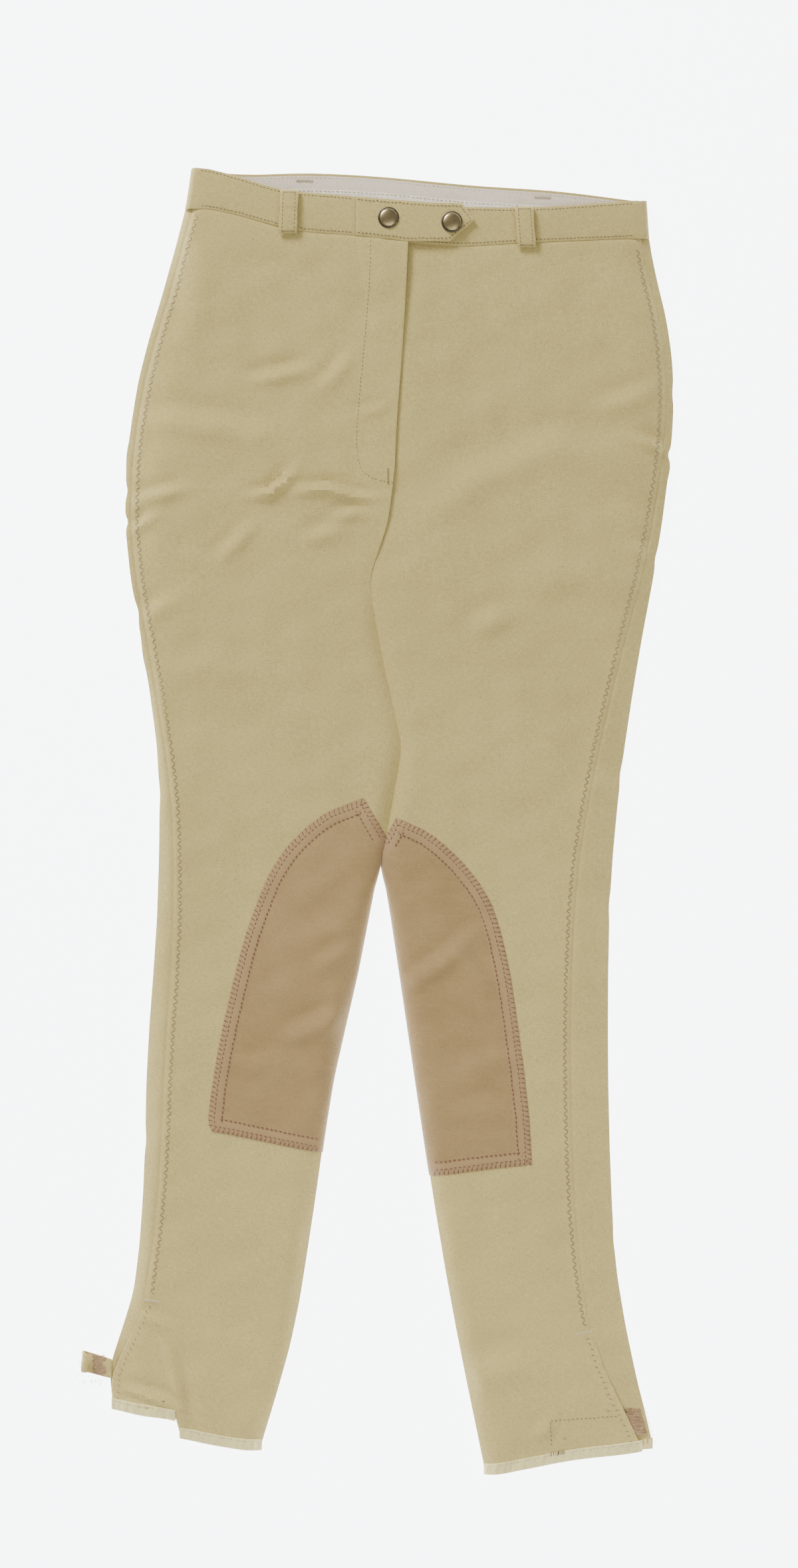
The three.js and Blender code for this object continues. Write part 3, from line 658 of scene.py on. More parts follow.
def suedeFinish(name, colour, margin):
    finish, tree, shader, place = newFinish(name, 0.88, 0.35)
    nap = grain(tree, place, (900, 1100, 900), 4, rough=0.65)
    strokes = grain(tree, place, (90, 230, 90), 4, turn=0.15)
    clouds = grain(tree, place, (26, 20, 26), 4, rough=0.6)
    shades = tone(tree, nap, [(0.3, shaded(colour, 0.84)), (0.5, colour), (0.72, shaded(colour, 1.15))])
    rubbed = laid(tree, 1.0, shades, (0.84, 0.82, 0.80), "MULTIPLY")
    shades = laid(tree, tone(tree, clouds, [(0.36, 0.0), (0.66, 0.7)]), shades, rubbed)
    shades = laid(tree, tone(tree, strokes, [(0.45, 0.0), (0.75, 0.3)]), shades, shaded(colour, 1.16))
    border = tree.nodes.new("ShaderNodeAttribute")
    border.attribute_name = "margin"
    shades = laid(tree, border.outputs["Fac"], shades, laid(tree, 0.65, shades, margin))
    coverWith(tree, shader, shades, sums(tree, nap, sums(tree, clouds, 1.5, "MULTIPLY")), 0.0003)
    return finish


def satinFinish(name, colour):
    finish, tree, shader, place = newFinish(name, 0.46, 0.2, specular=0.45)
    rib = grain(tree, place, (240, 2600, 240), 2, turn=0.75)
    creaseReliefAndShade = grain(tree, place, (130, 60, 130), 3, turn=0.4)
    shades = tone(tree, rib, [(0.35, shaded(colour, 0.92)), (0.65, shaded(colour, 1.06))])
    # painted shade: the crease noise darkens the tape by up to 12% in its hollows, and the same noise raises the
    # creases
    shades = laid(tree, 1.0, shades, tone(tree, creaseReliefAndShade, [(0.3, 0.88), (0.6, 1.0)]), "MULTIPLY")
    coverWith(tree, shader, shades, sums(tree, sums(tree, creaseReliefAndShade, 3.0, "MULTIPLY"), rib), 0.0003)
    return finish


def brassFinish(name, colour, roughness=0.3, patina=0.6):
    finish, tree, shader, place = newFinish(name, roughness, metallic=1.0, specular=0.5)
    tarnish = grain(tree, place, (260, 260, 260), 5, rough=0.65)
    scuffs = grain(tree, place, (900, 3200, 900), 2, turn=0.6)
    shades = tone(tree, tarnish, [(0.34, shaded(colour, 1 - patina)), (0.6, colour)])
    shades = laid(tree, tone(tree, scuffs, [(0.6, 0.0), (0.72, 0.5)]), shades, shaded(colour, 1.5))
    rough = tree.nodes.new("ShaderNodeMapRange")
    rough.inputs["To Min"].default_value = roughness + 0.14
    rough.inputs["To Max"].default_value = roughness - 0.06
    tree.links.new(tarnish, rough.inputs["Value"])
    tree.links.new(rough.outputs["Result"], shader.inputs["Roughness"])
    coverWith(tree, shader, shades, sums(tree, tarnish, scuffs), 0.00006)
    return finish


def pileFinish(name, colour):
    finish, tree, shader, place = newFinish(name, 0.8, 0.3)
    hooks = grain(tree, place, (1500, 1500, 1500), 3, rough=0.7)
    rows = grain(tree, place, (200, 1300, 200), 1)
    lint = grain(tree, place, (340, 420, 300), 4, rough=0.7)
    shades = tone(tree, sums(tree, sums(tree, hooks, rows), 2.0, "DIVIDE"), [
        (0.36, shaded(colour, 0.55)), (0.52, colour), (0.66, shaded(colour, 1.3))])
    shades = laid(tree, tone(tree, lint, [(0.6, 0.0), (0.7, 0.6)]), shades, (0.62, 0.55, 0.45))
    coverWith(tree, shader, shades, sums(tree, hooks, rows), 0.0005)
    return finish


def threadFinish(name, colour):
    finish, tree, shader, place = newFinish(name, 0.6, 0.2)
    twist = grain(tree, place, (3200, 3200, 3200), 1)
    shades = tone(tree, twist, [(0.35, shaded(colour, 0.75)), (0.65, shaded(colour, 1.15))])
    coverWith(tree, shader, shades, twist, 0.0001)
    return finish


khaki = (0.450, 0.356, 0.126)
breechesCloth = wovenFinish("breechesCloth", khaki, lowerTone=1.16)
bandCloth = wovenFinish("bandCloth", shaded(khaki, 0.97))
kneeSuede = suedeFinish("kneeSuede", (0.315, 0.205, 0.080), (0.34, 0.212, 0.098))
hemSatin = satinFinish("hemSatin", (0.82, 0.70, 0.29))
liningTape = wovenFinish("liningTape", (0.68, 0.58, 0.46), spread=0.08, specks=0, twill=0.1, slub=150)
ribbedTape = wovenFinish("ribbedTape", (0.80, 0.73, 0.61), spread=0.22, thread=900, slub=12, specks=0,
                         twill=0.0)
tapeWeave = wovenFinish("tapeWeave", (0.40, 0.34, 0.21), spread=0.14, thread=1800, slub=90, specks=0)
# The dark stitching thread is partly the thread's own colour and partly painted shade, the shading in the stitch holes
# that makes the stitch lines show.
khakiThread, paleThread, darkThreadAndStitchShade, suedeThread = (
    threadFinish(name + "Thread", colour) for name, colour in (
        ("khaki", (0.50, 0.43, 0.27)), ("pale", (0.66, 0.60, 0.42)), ("shade", (0.21, 0.155, 0.07)),
        ("suede", (0.16, 0.075, 0.040))))
antiqueBrass = brassFinish("antiqueBrass", (0.30, 0.235, 0.115), 0.26, 0.28)
darkBrass = brassFinish("darkBrass", (0.10, 0.085, 0.06), 0.4, 0.4)
zipBrass = brassFinish("zipBrass", (0.62, 0.48, 0.24), 0.34, 0.4)
hookPile = pileFinish("hookPile", (0.36, 0.23, 0.11))
print("finishes made")

# The two legs with the seat: front, wrap round the side, underside, and inner fold in one cloth each.
legCloth = {
    "rowStep": 2.5,
    "acrossStep": 3.6,
    "thickness": 0.9,
    "hemCover": 4,        # how far the cloth stops short of the hem, inside its binding
    "bandCover": 5,       # how far it runs up under the waistband
    "foldRound": 2.4,
    "under": 0.35,        # height of the underside
    "flyUnder": 6,        # how far the left half runs under the fly
    "backTuck": 14,       # how far the back runs in under the ankle flap
}


def bent(y0, x, hem, top, ends):
    # rows are level in the middle of the leg and follow the hem and the waist at its ends
    hem0, top0 = ends
    atHem = 1 - ease(y0, hem0, hem0 + 84)
    atTop = ease(y0, top0 - 70, top0)
    y = y0 + (hem(x) + legCloth["hemCover"] - hem0) * atHem
    return y + (top(x) + legCloth["bandCover"] - top0) * atTop


def wrapDrop(side, y):
    return 1.3 * ease(-y, -slit[side], -slit[side] + 24) + 1.9 * ease(-y, -slit[side] + 26, -slit[side] + 52)


def wrapHeight(side, x, y):
    return np.maximum(frontHeight(side, x, y) - wrapDrop(side, y), 1.9)


def tucked(side, x, y, z):
    return z - 1.9 * ease(y - bandFoot[side](x), -1.2, 2.0)


def legEnds(side):
    x = blendOf(legs[side]["inner"](-430), legs[side]["seam"](-430), 0.5)
    hem0 = float(legs[side]["front"](x)) + legCloth["hemCover"]
    top0 = float(bandFoot[side](sides[side] * 100)) + legCloth["bandCover"]
    return hem0, top0


def legRows(side):
    hem0, top0 = legEnds(side)
    anchors = [hem0, slit[side], knee, crotch, flyFoot, top0]
    rows = []
    for low, high in zip(anchors, anchors[1:]):
        count = math.ceil((high - low) / legCloth["rowStep"])
        rows += list(np.linspace(low, high, count, endpoint=False))
    return np.array(rows + [top0])


def frontInner(side, y):
    edge = legs[side]["inner"](y)
    if side == "left":
        edge = edge - legCloth["flyUnder"] * ease(y, 168, 215)
    return edge


def legGrids(side):
    sign, lines, spec = sides[side], legs[side], legCloth
    y0 = legRows(side)
    ends = legEnds(side)
    rounded = spec["foldRound"]
    besideSeam = -sign * np.array([9.5, 8.2, 7, 5.8, 4.6, 3.5, 2.3, 1.3, 0.6, 0.0])
    share = np.linspace(0, 1, round(150 / spec["acrossStep"]), endpoint=False)

    def settle(columns, count, hem, top):
        y = np.repeat(y0[:, None], count, 1)
        for turn in range(5):
            x = columns(y)
            y = bent(y0[:, None], x, hem, top, ends)
        return x, y

    def frontColumns(y):
        a, b = frontInner(side, y), lines["seam"](y)
        wide = a[:, :len(share)] + (b - sign * 10.8 - a)[:, :len(share)] * share
        return np.concatenate([wide, b[:, len(share):] + besideSeam], 1)

    front = settle(frontColumns, len(share) + len(besideSeam), lines["front"], bandFoot[side])
    z = tucked(side, *front, frontHeight(side, *front))
    if side == "left":  # the part that runs under the fly lies lower
        z = z - 1.3 * ease(lines["inner"](front[1]) - front[0], -2.5, 0.5) * ease(front[1], 160, 190)
    frontGrid = np.dstack([*front, z])

    wrapShare = np.array([0, 0.03, 0.08, 0.16, 0.3, 0.46, 0.62, 0.77, 0.9, 1.0])

    def wrapColumns(y):
        tuckIn = sign * spec["backTuck"] * ease(-y, -slit[side], -slit[side] + 40)
        flapEdge = np.where(y > slit[side], lines["seam"](y), lines["slitEdge"](np.minimum(y, slit[side])))
        start = flapEdge - tuckIn
        return start + (lines["outer"](y) - start) * wrapShare

    wrap = settle(wrapColumns, len(wrapShare), lines["back"], bandFoot[side])
    outerTop = np.dstack([*wrap, tucked(side, *wrap, wrapHeight(side, *wrap))])
    below = y0 < slit[side] - 0.01
    outerTop[~below, 0] = frontGrid[~below, -1]
    outerTop[below, 0, 2] -= 0.3

    def fold(edgeGrid, direction, toBack):
        # turns the cloth under itself from an edge column, or up again to one
        angles = np.linspace(0, math.pi / 2, 6)[1:]
        x, y, z = (edgeGrid[:, None, k] for k in range(3))
        turned = np.dstack([
            x - direction * rounded * (1 - np.cos(angles)),
            np.repeat(y, len(angles), 1),
            z - (z - spec["under"]) * np.sin(angles)])
        return turned if toBack else turned[:, ::-1]

    outerFold = fold(outerTop[:, -1], sign, True)
    topShift = (bandFoot["back"](outerFold[..., 0]) - bandFoot[side](outerFold[..., 0]))
    outerFold[..., 1] += topShift * ease(y0, ends[1] - 70, ends[1])[:, None] * np.linspace(0.2, 1, 5)

    backShare = np.linspace(0, 1, 16)[1:]

    def backColumns(y):
        a = lines["outer"](y) - sign * rounded
        b = lines["innerBack"](y) + sign * (rounded * (1 - ease(y, crotch - 6, crotch + 6)))
        return a + (b - a) * backShare

    back = settle(backColumns, len(backShare), lines["back"], bandFoot["back"])
    lift = 1.7 * ease(back[1], ends[1] - 40, ends[1])
    backGrid = np.dstack([*back, np.full(back[0].shape, spec["under"]) + lift])
    legPart = y0 <= crotch + 0.01
    innerTurn = fold(frontGrid[:, 0], -sign, False)
    innerGrid = np.concatenate([backGrid[:, -1:], innerTurn, frontGrid[:, :1]], 1)[legPart]
    aroundGrid = np.concatenate([outerTop, outerFold, backGrid], 1)
    return [frontGrid, aroundGrid, innerGrid]


legNodes = ("front_thigh", "back_thigh", "front_shin", "back_shin", "side_seam_upper", "side_seam_lower",
            "inseam_upper", "inseam_lower")
kneeBend = 0.030  # how far above and below the knee a leg's bend reaches, in metres
bends, legPieces = {}, {}
for side, sign in sides.items():
    at = knee * metre
    bends[side] = dict(a="seat", b=f"{side}_shin", start=(0, at + kneeBend, 0), end=(0, at - kneeBend, 0))
    piece = sewGrids(f"{side}LegCloth", legGrids(side), breechesCloth, flip=sign < 0,
                     thickness=legCloth["thickness"])
    legPieces[side] = attach(piece, bends[side], "cloth", *(f"{part}_{side}" for part in legNodes))
    print(side, "leg sewn:", len(piece.data.polygons), "faces")


# Sewing threads: each stitch is a small tapered bead lying on the cloth.
seamThread, tackThread = 0.68, 0.6  # how wide the threads lie


def beads(name, segments, width, finish, rise=0.6):
    segments = np.asarray(segments, float)
    ends = segments[:, 1] - segments[:, 0]
    ends = ends / np.maximum(np.linalg.norm(ends, axis=1, keepdims=True), 1e-9)
    across = np.cross(ends, (0, 0, 1.0))
    across /= np.maximum(np.linalg.norm(across, axis=1, keepdims=True), 1e-9)
    up = np.cross(across, ends)
    points, sink = [segments[:, 0]], 0.15 * width
    for share in (0.22, 0.78):
        middle = segments[:, 0] + (segments[:, 1] - segments[:, 0]) * share
        for aside, lift in ((-0.5, 0), (0, rise), (0.5, 0), (0, -0.4)):
            points.append(middle + across * aside * width + up * lift * width)
    points.append(segments[:, 1])
    points = np.stack(points, 1) - np.array([0, 0, sink])
    each = [(0, 2, 1), (0, 3, 2), (0, 4, 3), (0, 1, 4), (9, 5, 6), (9, 6, 7), (9, 7, 8), (9, 8, 5)]
    quads = [(1, 2, 6, 5), (2, 3, 7, 6), (3, 4, 8, 7), (4, 1, 5, 8)]
    faces = []
    for n in range(len(segments)):
        faces += [tuple(10 * n + k for k in face) for face in each + quads]
    return reworked(pieceFrom(name, points.reshape(-1, 3), faces, finish),
                    lambda form: bmesh.ops.recalc_face_normals(form, faces=form.faces))


def sewn(name, rows, width, finish, move, slot="binding", **more):
    return attach(beads(name, rows, width, finish, **more), move, slot)


def walk(points, pitch):
    # evenly spaced places along a line on the cloth, with the line's heading at each
    points = np.asarray(points, float)
    steps = np.linalg.norm(np.diff(points, axis=0), axis=1)
    walked = np.concatenate([[0], np.cumsum(steps)])
    count = max(2, int(round(walked[-1] / pitch)))
    at = np.linspace(0, walked[-1], count + 1)
    places = np.column_stack([np.interp(at, walked, points[:, k]) for k in range(2)])
    heading = np.gradient(places, axis=0)
    return places, heading / np.maximum(np.linalg.norm(heading, axis=1, keepdims=True), 1e-9)


def onCloth(flat, height):
    flat = np.asarray(flat, float)
    return np.dstack([flat[..., 0], flat[..., 1], height(flat[..., 0], flat[..., 1])])


def level(height):
    return lambda x, y: np.full(np.shape(x), height)


def straightStitches(line, height, pitch=3.0, length=2.2, wander=0.12):
    places, heading = walk(line, pitch)
    places = places + chance.normal(0, wander, places.shape)
    half = heading * length / 2
    return onCloth(np.stack([places - half, places + half], 1), height)


def squareTo(heading):
    return np.column_stack([-heading[:, 1], heading[:, 0]])


def zigzagStitches(line, height, pitch=5.0, width=3.0, wander=0.15):
    places, heading = walk(line, pitch / 2)
    aside = squareTo(heading) * width / 2
    corners = places + aside * np.where(np.arange(len(places)) % 2, 1, -1)[:, None]
    corners = corners + chance.normal(0, wander, corners.shape)
    return onCloth(np.stack([corners[:-1], corners[1:]], 1), height)


def ladderStitches(line, height, pitch=3.4, width=3.6, slant=0.5, wander=0.15):
    places, heading = walk(line, pitch)
    aside = squareTo(heading) * width / 2 + heading * slant
    places = places + chance.normal(0, wander, places.shape)
    return onCloth(np.stack([places - aside, places + aside], 1), height)


def offsetLine(points, aside, pitch=2.5):
    places, heading = walk(points, pitch)
    for turn in range(2):
        heading[1:-1] = (heading[:-2] + heading[1:-1] + heading[2:]) / 3
    heading /= np.linalg.norm(heading, axis=1, keepdims=True)
    return places + squareTo(heading) * aside


# Fly: a folded facing that lies over the left half and opens along its slanting line.
fly = {"edgeDrop": 0.25, "thickness": 1.3, "rows": 66, "cols": 12, "bend": 7}
flyInner = legs["right"]["inner"]


def flyHeight(x, y):
    z = tucked("right", x, y, frontHeight("right", x, y))
    return z - fly["edgeDrop"] * np.exp(-np.maximum(flyEdge(y) - x, 0) / 0.8) * ease(y, flyFoot, flyFoot + 8)


rows = np.linspace(flyFoot - 1, float(bandFoot["right"](4.0)) + legCloth["bandCover"], fly["rows"])
share = 1 - (1 - np.linspace(0, 1, fly["cols"])) ** 1.4
y = np.repeat(rows[:, None], len(share), 1)
x = flyInner(y) + np.maximum(flyEdge(y) - flyInner(y), 0) * share
flyFlap = sewGrids("flyFlap", [np.dstack([x, y, flyHeight(x, y)])], breechesCloth, thickness=fly["thickness"],
                   edgeRound=0.3)
hingeEnds = np.array([flyFoot + 2, 400.0])
hinge = np.array([flyInner(hingeEnds), hingeEnds]).T
run = (hinge[1] - hinge[0]) / np.linalg.norm(hinge[1] - hinge[0])
aside = np.array([run[1], -run[0]])
flyBend = dict(a="seat", b="fly_flap", start=(*(hinge[0] * metre), 0),
               end=(*((hinge[0] + aside * fly["bend"]) * metre), 0))
attach(flyFlap, flyBend, "cloth", "fly_flap")

curve = np.array([(flyEdge(flyFoot - 16) - 0.5, flyFoot - 16.5), (3, flyFoot - 15.5), (-4.5, flyFoot - 13),
                  (-10.5, flyFoot - 8), (-13.4, flyFoot - 1), (-14.4, flyFoot + 12)])
upper = np.arange(flyFoot + 26, bandFoot["right"](-8.0) - 2, 8)
curve = np.concatenate([curve, np.column_stack([
    np.interp(upper, [flyFoot + 26, flyFoot + 76, flyFoot + 122, flyFoot + 156], [-14.2, -9.5, -5.5, -4]), upper])])
sewn("flyStitches", straightStitches(curve, flyHeight, 2.9, 2.1), 0.7, darkThreadAndStitchShade, flyBend)
print("fly made")

# Waistband: one strip from the front fastening round the back to the left front, and the tab that closes it.
band = {"thickness": 1.9, "puff": 0.35, "step": 4.0, "rows": 9, "foldDepth": 5.5, "stitchIn": 2.0}
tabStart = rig.box("waistband_front_right")[1][0] / metre


def bandWave(x):
    return 0.25 * np.sin(x / 9.0 + 1.3)


def puffed(side, x, share):
    # the band's height across its own width: padded in the middle, drawn down at both edges
    z = bandHigh[side] + band["puff"] * np.sin(np.pi * share) - 0.25 * np.exp(-(((share - 0.5) / 0.5) ** 8))
    z = z + bandWave(x) * np.sin(np.pi * share)
    return z - 0.35 * (np.exp(-share * 20) + np.exp(-(1 - share) * 20))


def bandRise(side, x, y):
    foot, top = bandFoot[side](x), bandTop[side](x)
    return puffed(side, x, np.clip((y - foot) / np.maximum(top - foot, 1), 0, 1))


def bandGrid():
    share = np.linspace(0, 1, band["rows"])
    depth, columns = band["foldDepth"], []
    xRight = np.arange(tabStart, -123, -band["step"])
    xLeft = np.arange(183, -8, -band["step"])
    xBack = np.arange(-126, 187, band["step"])

    def column(side, x, z=None):
        foot, top = bandFoot[side](x), bandTop[side](x)
        y = foot + (top - foot) * share
        return np.column_stack([np.full(len(y), x), y, bandRise(side, np.full(len(y), x), y) if z is None else
                                np.full(len(y), z)])

    def corner(side):
        # turns from the front to the back round the side of the waist
        atSide = sides[side] * 190
        foot, top, footBack, topBack = (float(line[part](atSide)) for part in (side, "back")
                                        for line in (bandFoot, bandTop))
        middle, half = (bandHigh[side] + bandLow) / 2, (bandHigh[side] - bandLow) / 2
        turns = []
        for angle in np.linspace(0.12, math.pi - 0.12, 11):
            f = angle / math.pi
            y = blendOf(foot, footBack, f) + (blendOf(top, topBack, f) - blendOf(foot, footBack, f)) * share
            x = legs[side]["outer"](y) - sides[side] * depth * (1 - math.sin(angle))
            turns.append(np.column_stack([x, y, np.full(len(y), middle + half * math.cos(angle))]))
        return turns

    columns += [column("right", x) for x in xRight]
    columns += corner("right")
    columns += [column("back", x, bandLow) for x in xBack]
    columns += corner("left")[::-1]
    columns += [column("left", x) for x in xLeft]
    return np.stack(columns, 1)


waistband = sewGrids("waistband", [bandGrid()], bandCloth, flip=True, thickness=band["thickness"], edgeRound=0.5)
attach(waistband, "seat", "cloth", "waistband_front_right", "waistband_front_left", "waistband_back")

tab = {"rows": 12, "thickness": 2.0, "bend": 6, "footSlant": 17, "topSlant": 9, "pointed": 0.96, "dipFrom": 30}
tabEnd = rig.box("waist_tab")[1][0] / metre


def tabOutline(x):
    foot, top = bandFoot["right"](x), bandTop["right"](x)
    middle = (foot + top) / 2 + 1.5
    fromFoot, fromTop = (np.clip((x - (tabEnd - tab[slant])) / tab[slant], 0, 1) * tab["pointed"]
                         for slant in ("footSlant", "topSlant"))
    return foot + (middle - foot) * fromFoot, top + (middle - top) * fromTop


def tabDip(x):
    return 1.2 * ease(x, tab["dipFrom"], tabEnd)


tabX = np.concatenate([np.linspace(tabStart, tabEnd - 18, 26), np.linspace(tabEnd - 17, tabEnd - 0.2, 12)])
foot, top = tabOutline(tabX)
share = np.linspace(0, 1, tab["rows"])
y = foot + (top - foot) * share[:, None]
x = np.repeat(tabX[None], len(share), 0)
z = puffed("right", x, share[:, None]) - tabDip(x)
waistTab = sewGrids("waistTab", [np.dstack([x, y, z])], bandCloth, thickness=tab["thickness"], edgeRound=0.5)
tabBend = dict(a="seat", b="waist_tab", start=(tabStart * metre, 0, 0), end=((tabStart + tab["bend"]) * metre, 0, 0))
attach(waistTab, tabBend, "cloth", "waist_tab")
edge = offsetLine(np.concatenate([np.column_stack([tabX, foot]), np.column_stack([tabX, top])[::-1]]), 2.1, 2.0)
keep = edge[:, 0] > tabStart + 1
rows = straightStitches(edge[keep], lambda x, y: bandHigh["right"] + 0.12 + bandWave(x) - tabDip(x), 2.7, 2.0)
sewn("tabStitches", rows, seamThread, darkThreadAndStitchShade, tabBend)

bandLines = []
for side, low, high in (("right", -124, tabStart - 1), ("left", -4, 186)):
    x = np.arange(low, high, 5.0)
    for line in (bandTop[side](x) - band["stitchIn"], bandFoot[side](x) + band["stitchIn"]):
        bandLines.append(straightStitches(np.column_stack([x, line]), lambda a, b, s=side: bandRise(s, a, b) + 0.1,
                                          2.7, 2.0, 0.08))
sewn("waistbandStitches", np.concatenate(bandLines), seamThread, darkThreadAndStitchShade, "seat")

# Inside of the back band: a plain facing above, and a ribbed grip tape below it.
lining = {"thickness": 0.6, "tapeDrop": 12, "tapeFoot": 24, "topGap": 2.2, "wave": 0.15,
          "height": heightOf("waistband_lining")}
x = np.arange(-124, 184, 4.0)


def liningStrip(name, low, high, lift, finish, *nodes):
    share = np.linspace(0, 1, 6)[:, None]
    y = low + (high - low) * share
    z = lining["height"] + lift + 0.9 * (1 - share) + lining["wave"] * np.sin(x / 14.0 + 2 * share)
    strip = sewGrids(name, [np.dstack([np.repeat(x[None], 6, 0), y, z])], finish, thickness=lining["thickness"])
    attach(strip, "seat", "lining", *nodes)


backTop, backFoot = bandTop["back"](x), bandFoot["back"](x)
liningStrip("bandFacing", backFoot + 2, backTop - lining["topGap"], 0.3, liningTape, "waistband_lining")
liningStrip("gripTape", backTop - lining["tapeFoot"], backTop - lining["tapeDrop"], 1.0, ribbedTape)
backTacks = np.concatenate([ladderStitches(
    np.array([(x - 5.5, float(bandTop["back"](x)) - 5.6), (x + 5.5, float(bandTop["back"](x)) - 5.9)]),
    level(lining["height"] + 0.75), 0.8, 2.2, 0.3, 0.08) for x in (-52, 118)])
sewn("backLoopTacks", backTacks, tackThread, khakiThread, "seat", "lining")
sewn("facingStitches", np.concatenate([straightStitches(
    np.column_stack([x, backTop - drop]), level(lining["height"] + lift), 3.0, 2.1, 0.1)
    for drop, lift in ((3.4, 0.5), (13.0, 1.4))]), 0.5, paleThread, "seat", "lining")
print("waistband, tab and lining made")

# Belt loops: a strap folded over the band's top edge, tacked at both ends.
loops = {"width": 13, "thickness": 1.9, "rows": 22, "crown": 0.35, "stitchIn": 2.2}


def beltLoop(name, node, side):
    low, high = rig.box(node)
    low, high = np.array(low) / metre, np.array(high) / metre
    y = np.linspace(low[1], high[1], loops["rows"])
    inside = np.clip(y, low[1] + 1.5, high[1] - 1.5)
    cuts = [sliceOf([node], key, 1) for key in inside]
    middle = np.array([(a[0] + b[0]) / 2 for a, b in cuts])
    middle = np.interp(y, [y[0], y[-1]], [middle[2], middle[-3]])
    across = np.linspace(-0.5, 0.5, 9)
    front = node.startswith("belt_loop_front")
    share = (y - y[0]) / (y[-1] - y[0])
    if front:
        z = low[2] + loops["thickness"] + 0.5 + 1.6 * np.sin(np.pi * share) ** 0.5
        z[share > 0.93] -= 0.9 * ((share[share > 0.93] - 0.93) / 0.07) ** 2
        z[share < 0.06] -= 0.3
        if side == "right":
            z = np.minimum(z, high[2] + 1.2)
    else:
        z = low[2] + 0.12 + 0.25 * np.cos(2 * np.pi * share)
        z = np.maximum(z, 0.08)
    sag = 1 - (2 * across) ** 2
    grid = np.dstack([
        middle[:, None] + across * loops["width"] * (1 + 0.03 * np.sin(9 * share)[:, None]),
        np.repeat(y[:, None], len(across), 1),
        z[:, None] + (loops["crown"] if front else 0) * sag])
    loop = sewGrids(name, [grid], bandCloth, flip=not front, thickness=loops["thickness"], edgeRound=0.35)
    attach(loop, "seat", "cloth", node)
    lines = []

    def top(a, b):
        return np.interp(b, y, z) + (0.28 if front else -0.05)

    for aside in (-1, 1):
        edge = middle + aside * (loops["width"] / 2 - loops["stitchIn"])
        lines.append(straightStitches(np.column_stack([edge, y])[1:-1], top, 2.8, 2.0, 0.06))
    for at in (1.6, (y[-1] - y[0]) - 2.4):
        x = np.interp(y[0] + at, y, middle)
        bar = np.array([[x - 4.2, y[0] + at], [x + 4.2, y[0] + at]])
        lines.append(ladderStitches(bar, top, 0.8, 1.5, 0.2, 0.05))
    sewn(name + "Stitches", np.concatenate(lines), seamThread, darkThreadAndStitchShade, "seat")


for end in ("front", "back"):
    for side in sides:
        beltLoop(f"beltLoop{end.title()}{side.title()}", f"belt_loop_{end}_{side}", side)
print("belt loops made")

# Snap caps: domed brass with a dark rolled rim, shaped from a short cylinder.
snap = {"sides": 48, "lip": 0.45, "rim": 0.55, "domeSteps": 7, "domeRise": 1.75}


def snapCap(name, node):
    low, high = boxOf(node)
    radius, middle = (high.x - low.x) / 2, (low + high) / 2
    bpy.ops.object.select_all(action="DESELECT")
    bpy.ops.mesh.primitive_cylinder_add(vertices=snap["sides"], radius=radius * metre, depth=0.9 * metre,
                                        location=(middle.x * metre, middle.y * metre, (low.z + 0.1) * metre))
    cap = bpy.context.object
    cap.name = name
    bpy.ops.object.transform_apply(location=True, rotation=True, scale=True)
    bpy.ops.object.mode_set(mode="EDIT")
    bpy.ops.mesh.select_all(action="DESELECT")
    form = bmesh.from_edit_mesh(cap.data)
    for face in form.faces:
        face.select = face.normal.z > 0.9
    bmesh.update_edit_mesh(cap.data)
    bpy.ops.mesh.inset(thickness=snap["lip"] * metre)
    bpy.ops.transform.translate(value=(0, 0, 0.28 * metre))
    bpy.ops.mesh.inset(thickness=snap["rim"] * metre)
    bpy.ops.transform.translate(value=(0, 0, -0.30 * metre))
    inner = radius - snap["lip"] - snap["rim"]
    before = 0.0
    for step in range(1, snap["domeSteps"] + 1):
        angle = step / (snap["domeSteps"] + 0.6) * math.pi / 2
        bpy.ops.mesh.inset(thickness=inner * (math.cos(before) - math.cos(angle)) * metre)
        bpy.ops.transform.translate(value=(0, 0, snap["domeRise"] * (math.sin(angle) - math.sin(before)) * metre))
        before = angle
    bpy.ops.object.mode_set(mode="OBJECT")
    for finish in (antiqueBrass, darkBrass):
        cap.data.materials.append(finish)
    for face in cap.data.polygons:
        away = math.hypot(face.center.x / metre - middle.x, face.center.y / metre - middle.y)
        face.material_index = 1 if away > inner - 0.15 else 0
    applyModifier(cap, "BEVEL", width=0.12 * metre, segments=2, limit_method="ANGLE", angle_limit=math.radians(40))
    smoothShade(cap, 50)
    attach(cap, "waist_tab", "brass", node)


snapCap("snapCapInner", "snap_cap_inner")
snapCap("snapCapOuter", "snap_cap_outer")
for node in frame["nodes"]:
    if node.startswith(("snap_s", "zip_t", "zip_b", "zip_s", "zip_p")) and "tape" not in node:
        mesh = frame["nodes"][node].data
        mesh.materials.clear()
        mesh.materials.append(antiqueBrass if node.startswith("snap") else zipBrass)
print("snaps and zip finished")


# Knee patches: suede, turned under at the edge and sewn with two rows and an overcast edge.
patch = {
    "thickness": 1.0, "stand": 0.95, "rowStep": 2.4, "cols": 30, "round": 0.8, "marginWidth": 9.5,
    "edgeRow": 4.2, "innerRow": 9.6, "wrapIn": 0.7, "thread": 0.95, "foldFrom": {"right": 28, "left": 18}, "tip": 9,
    "footDepth": 46,      # how far up the foot's slant is felt by the rows
    "dimple": 0.3,
}


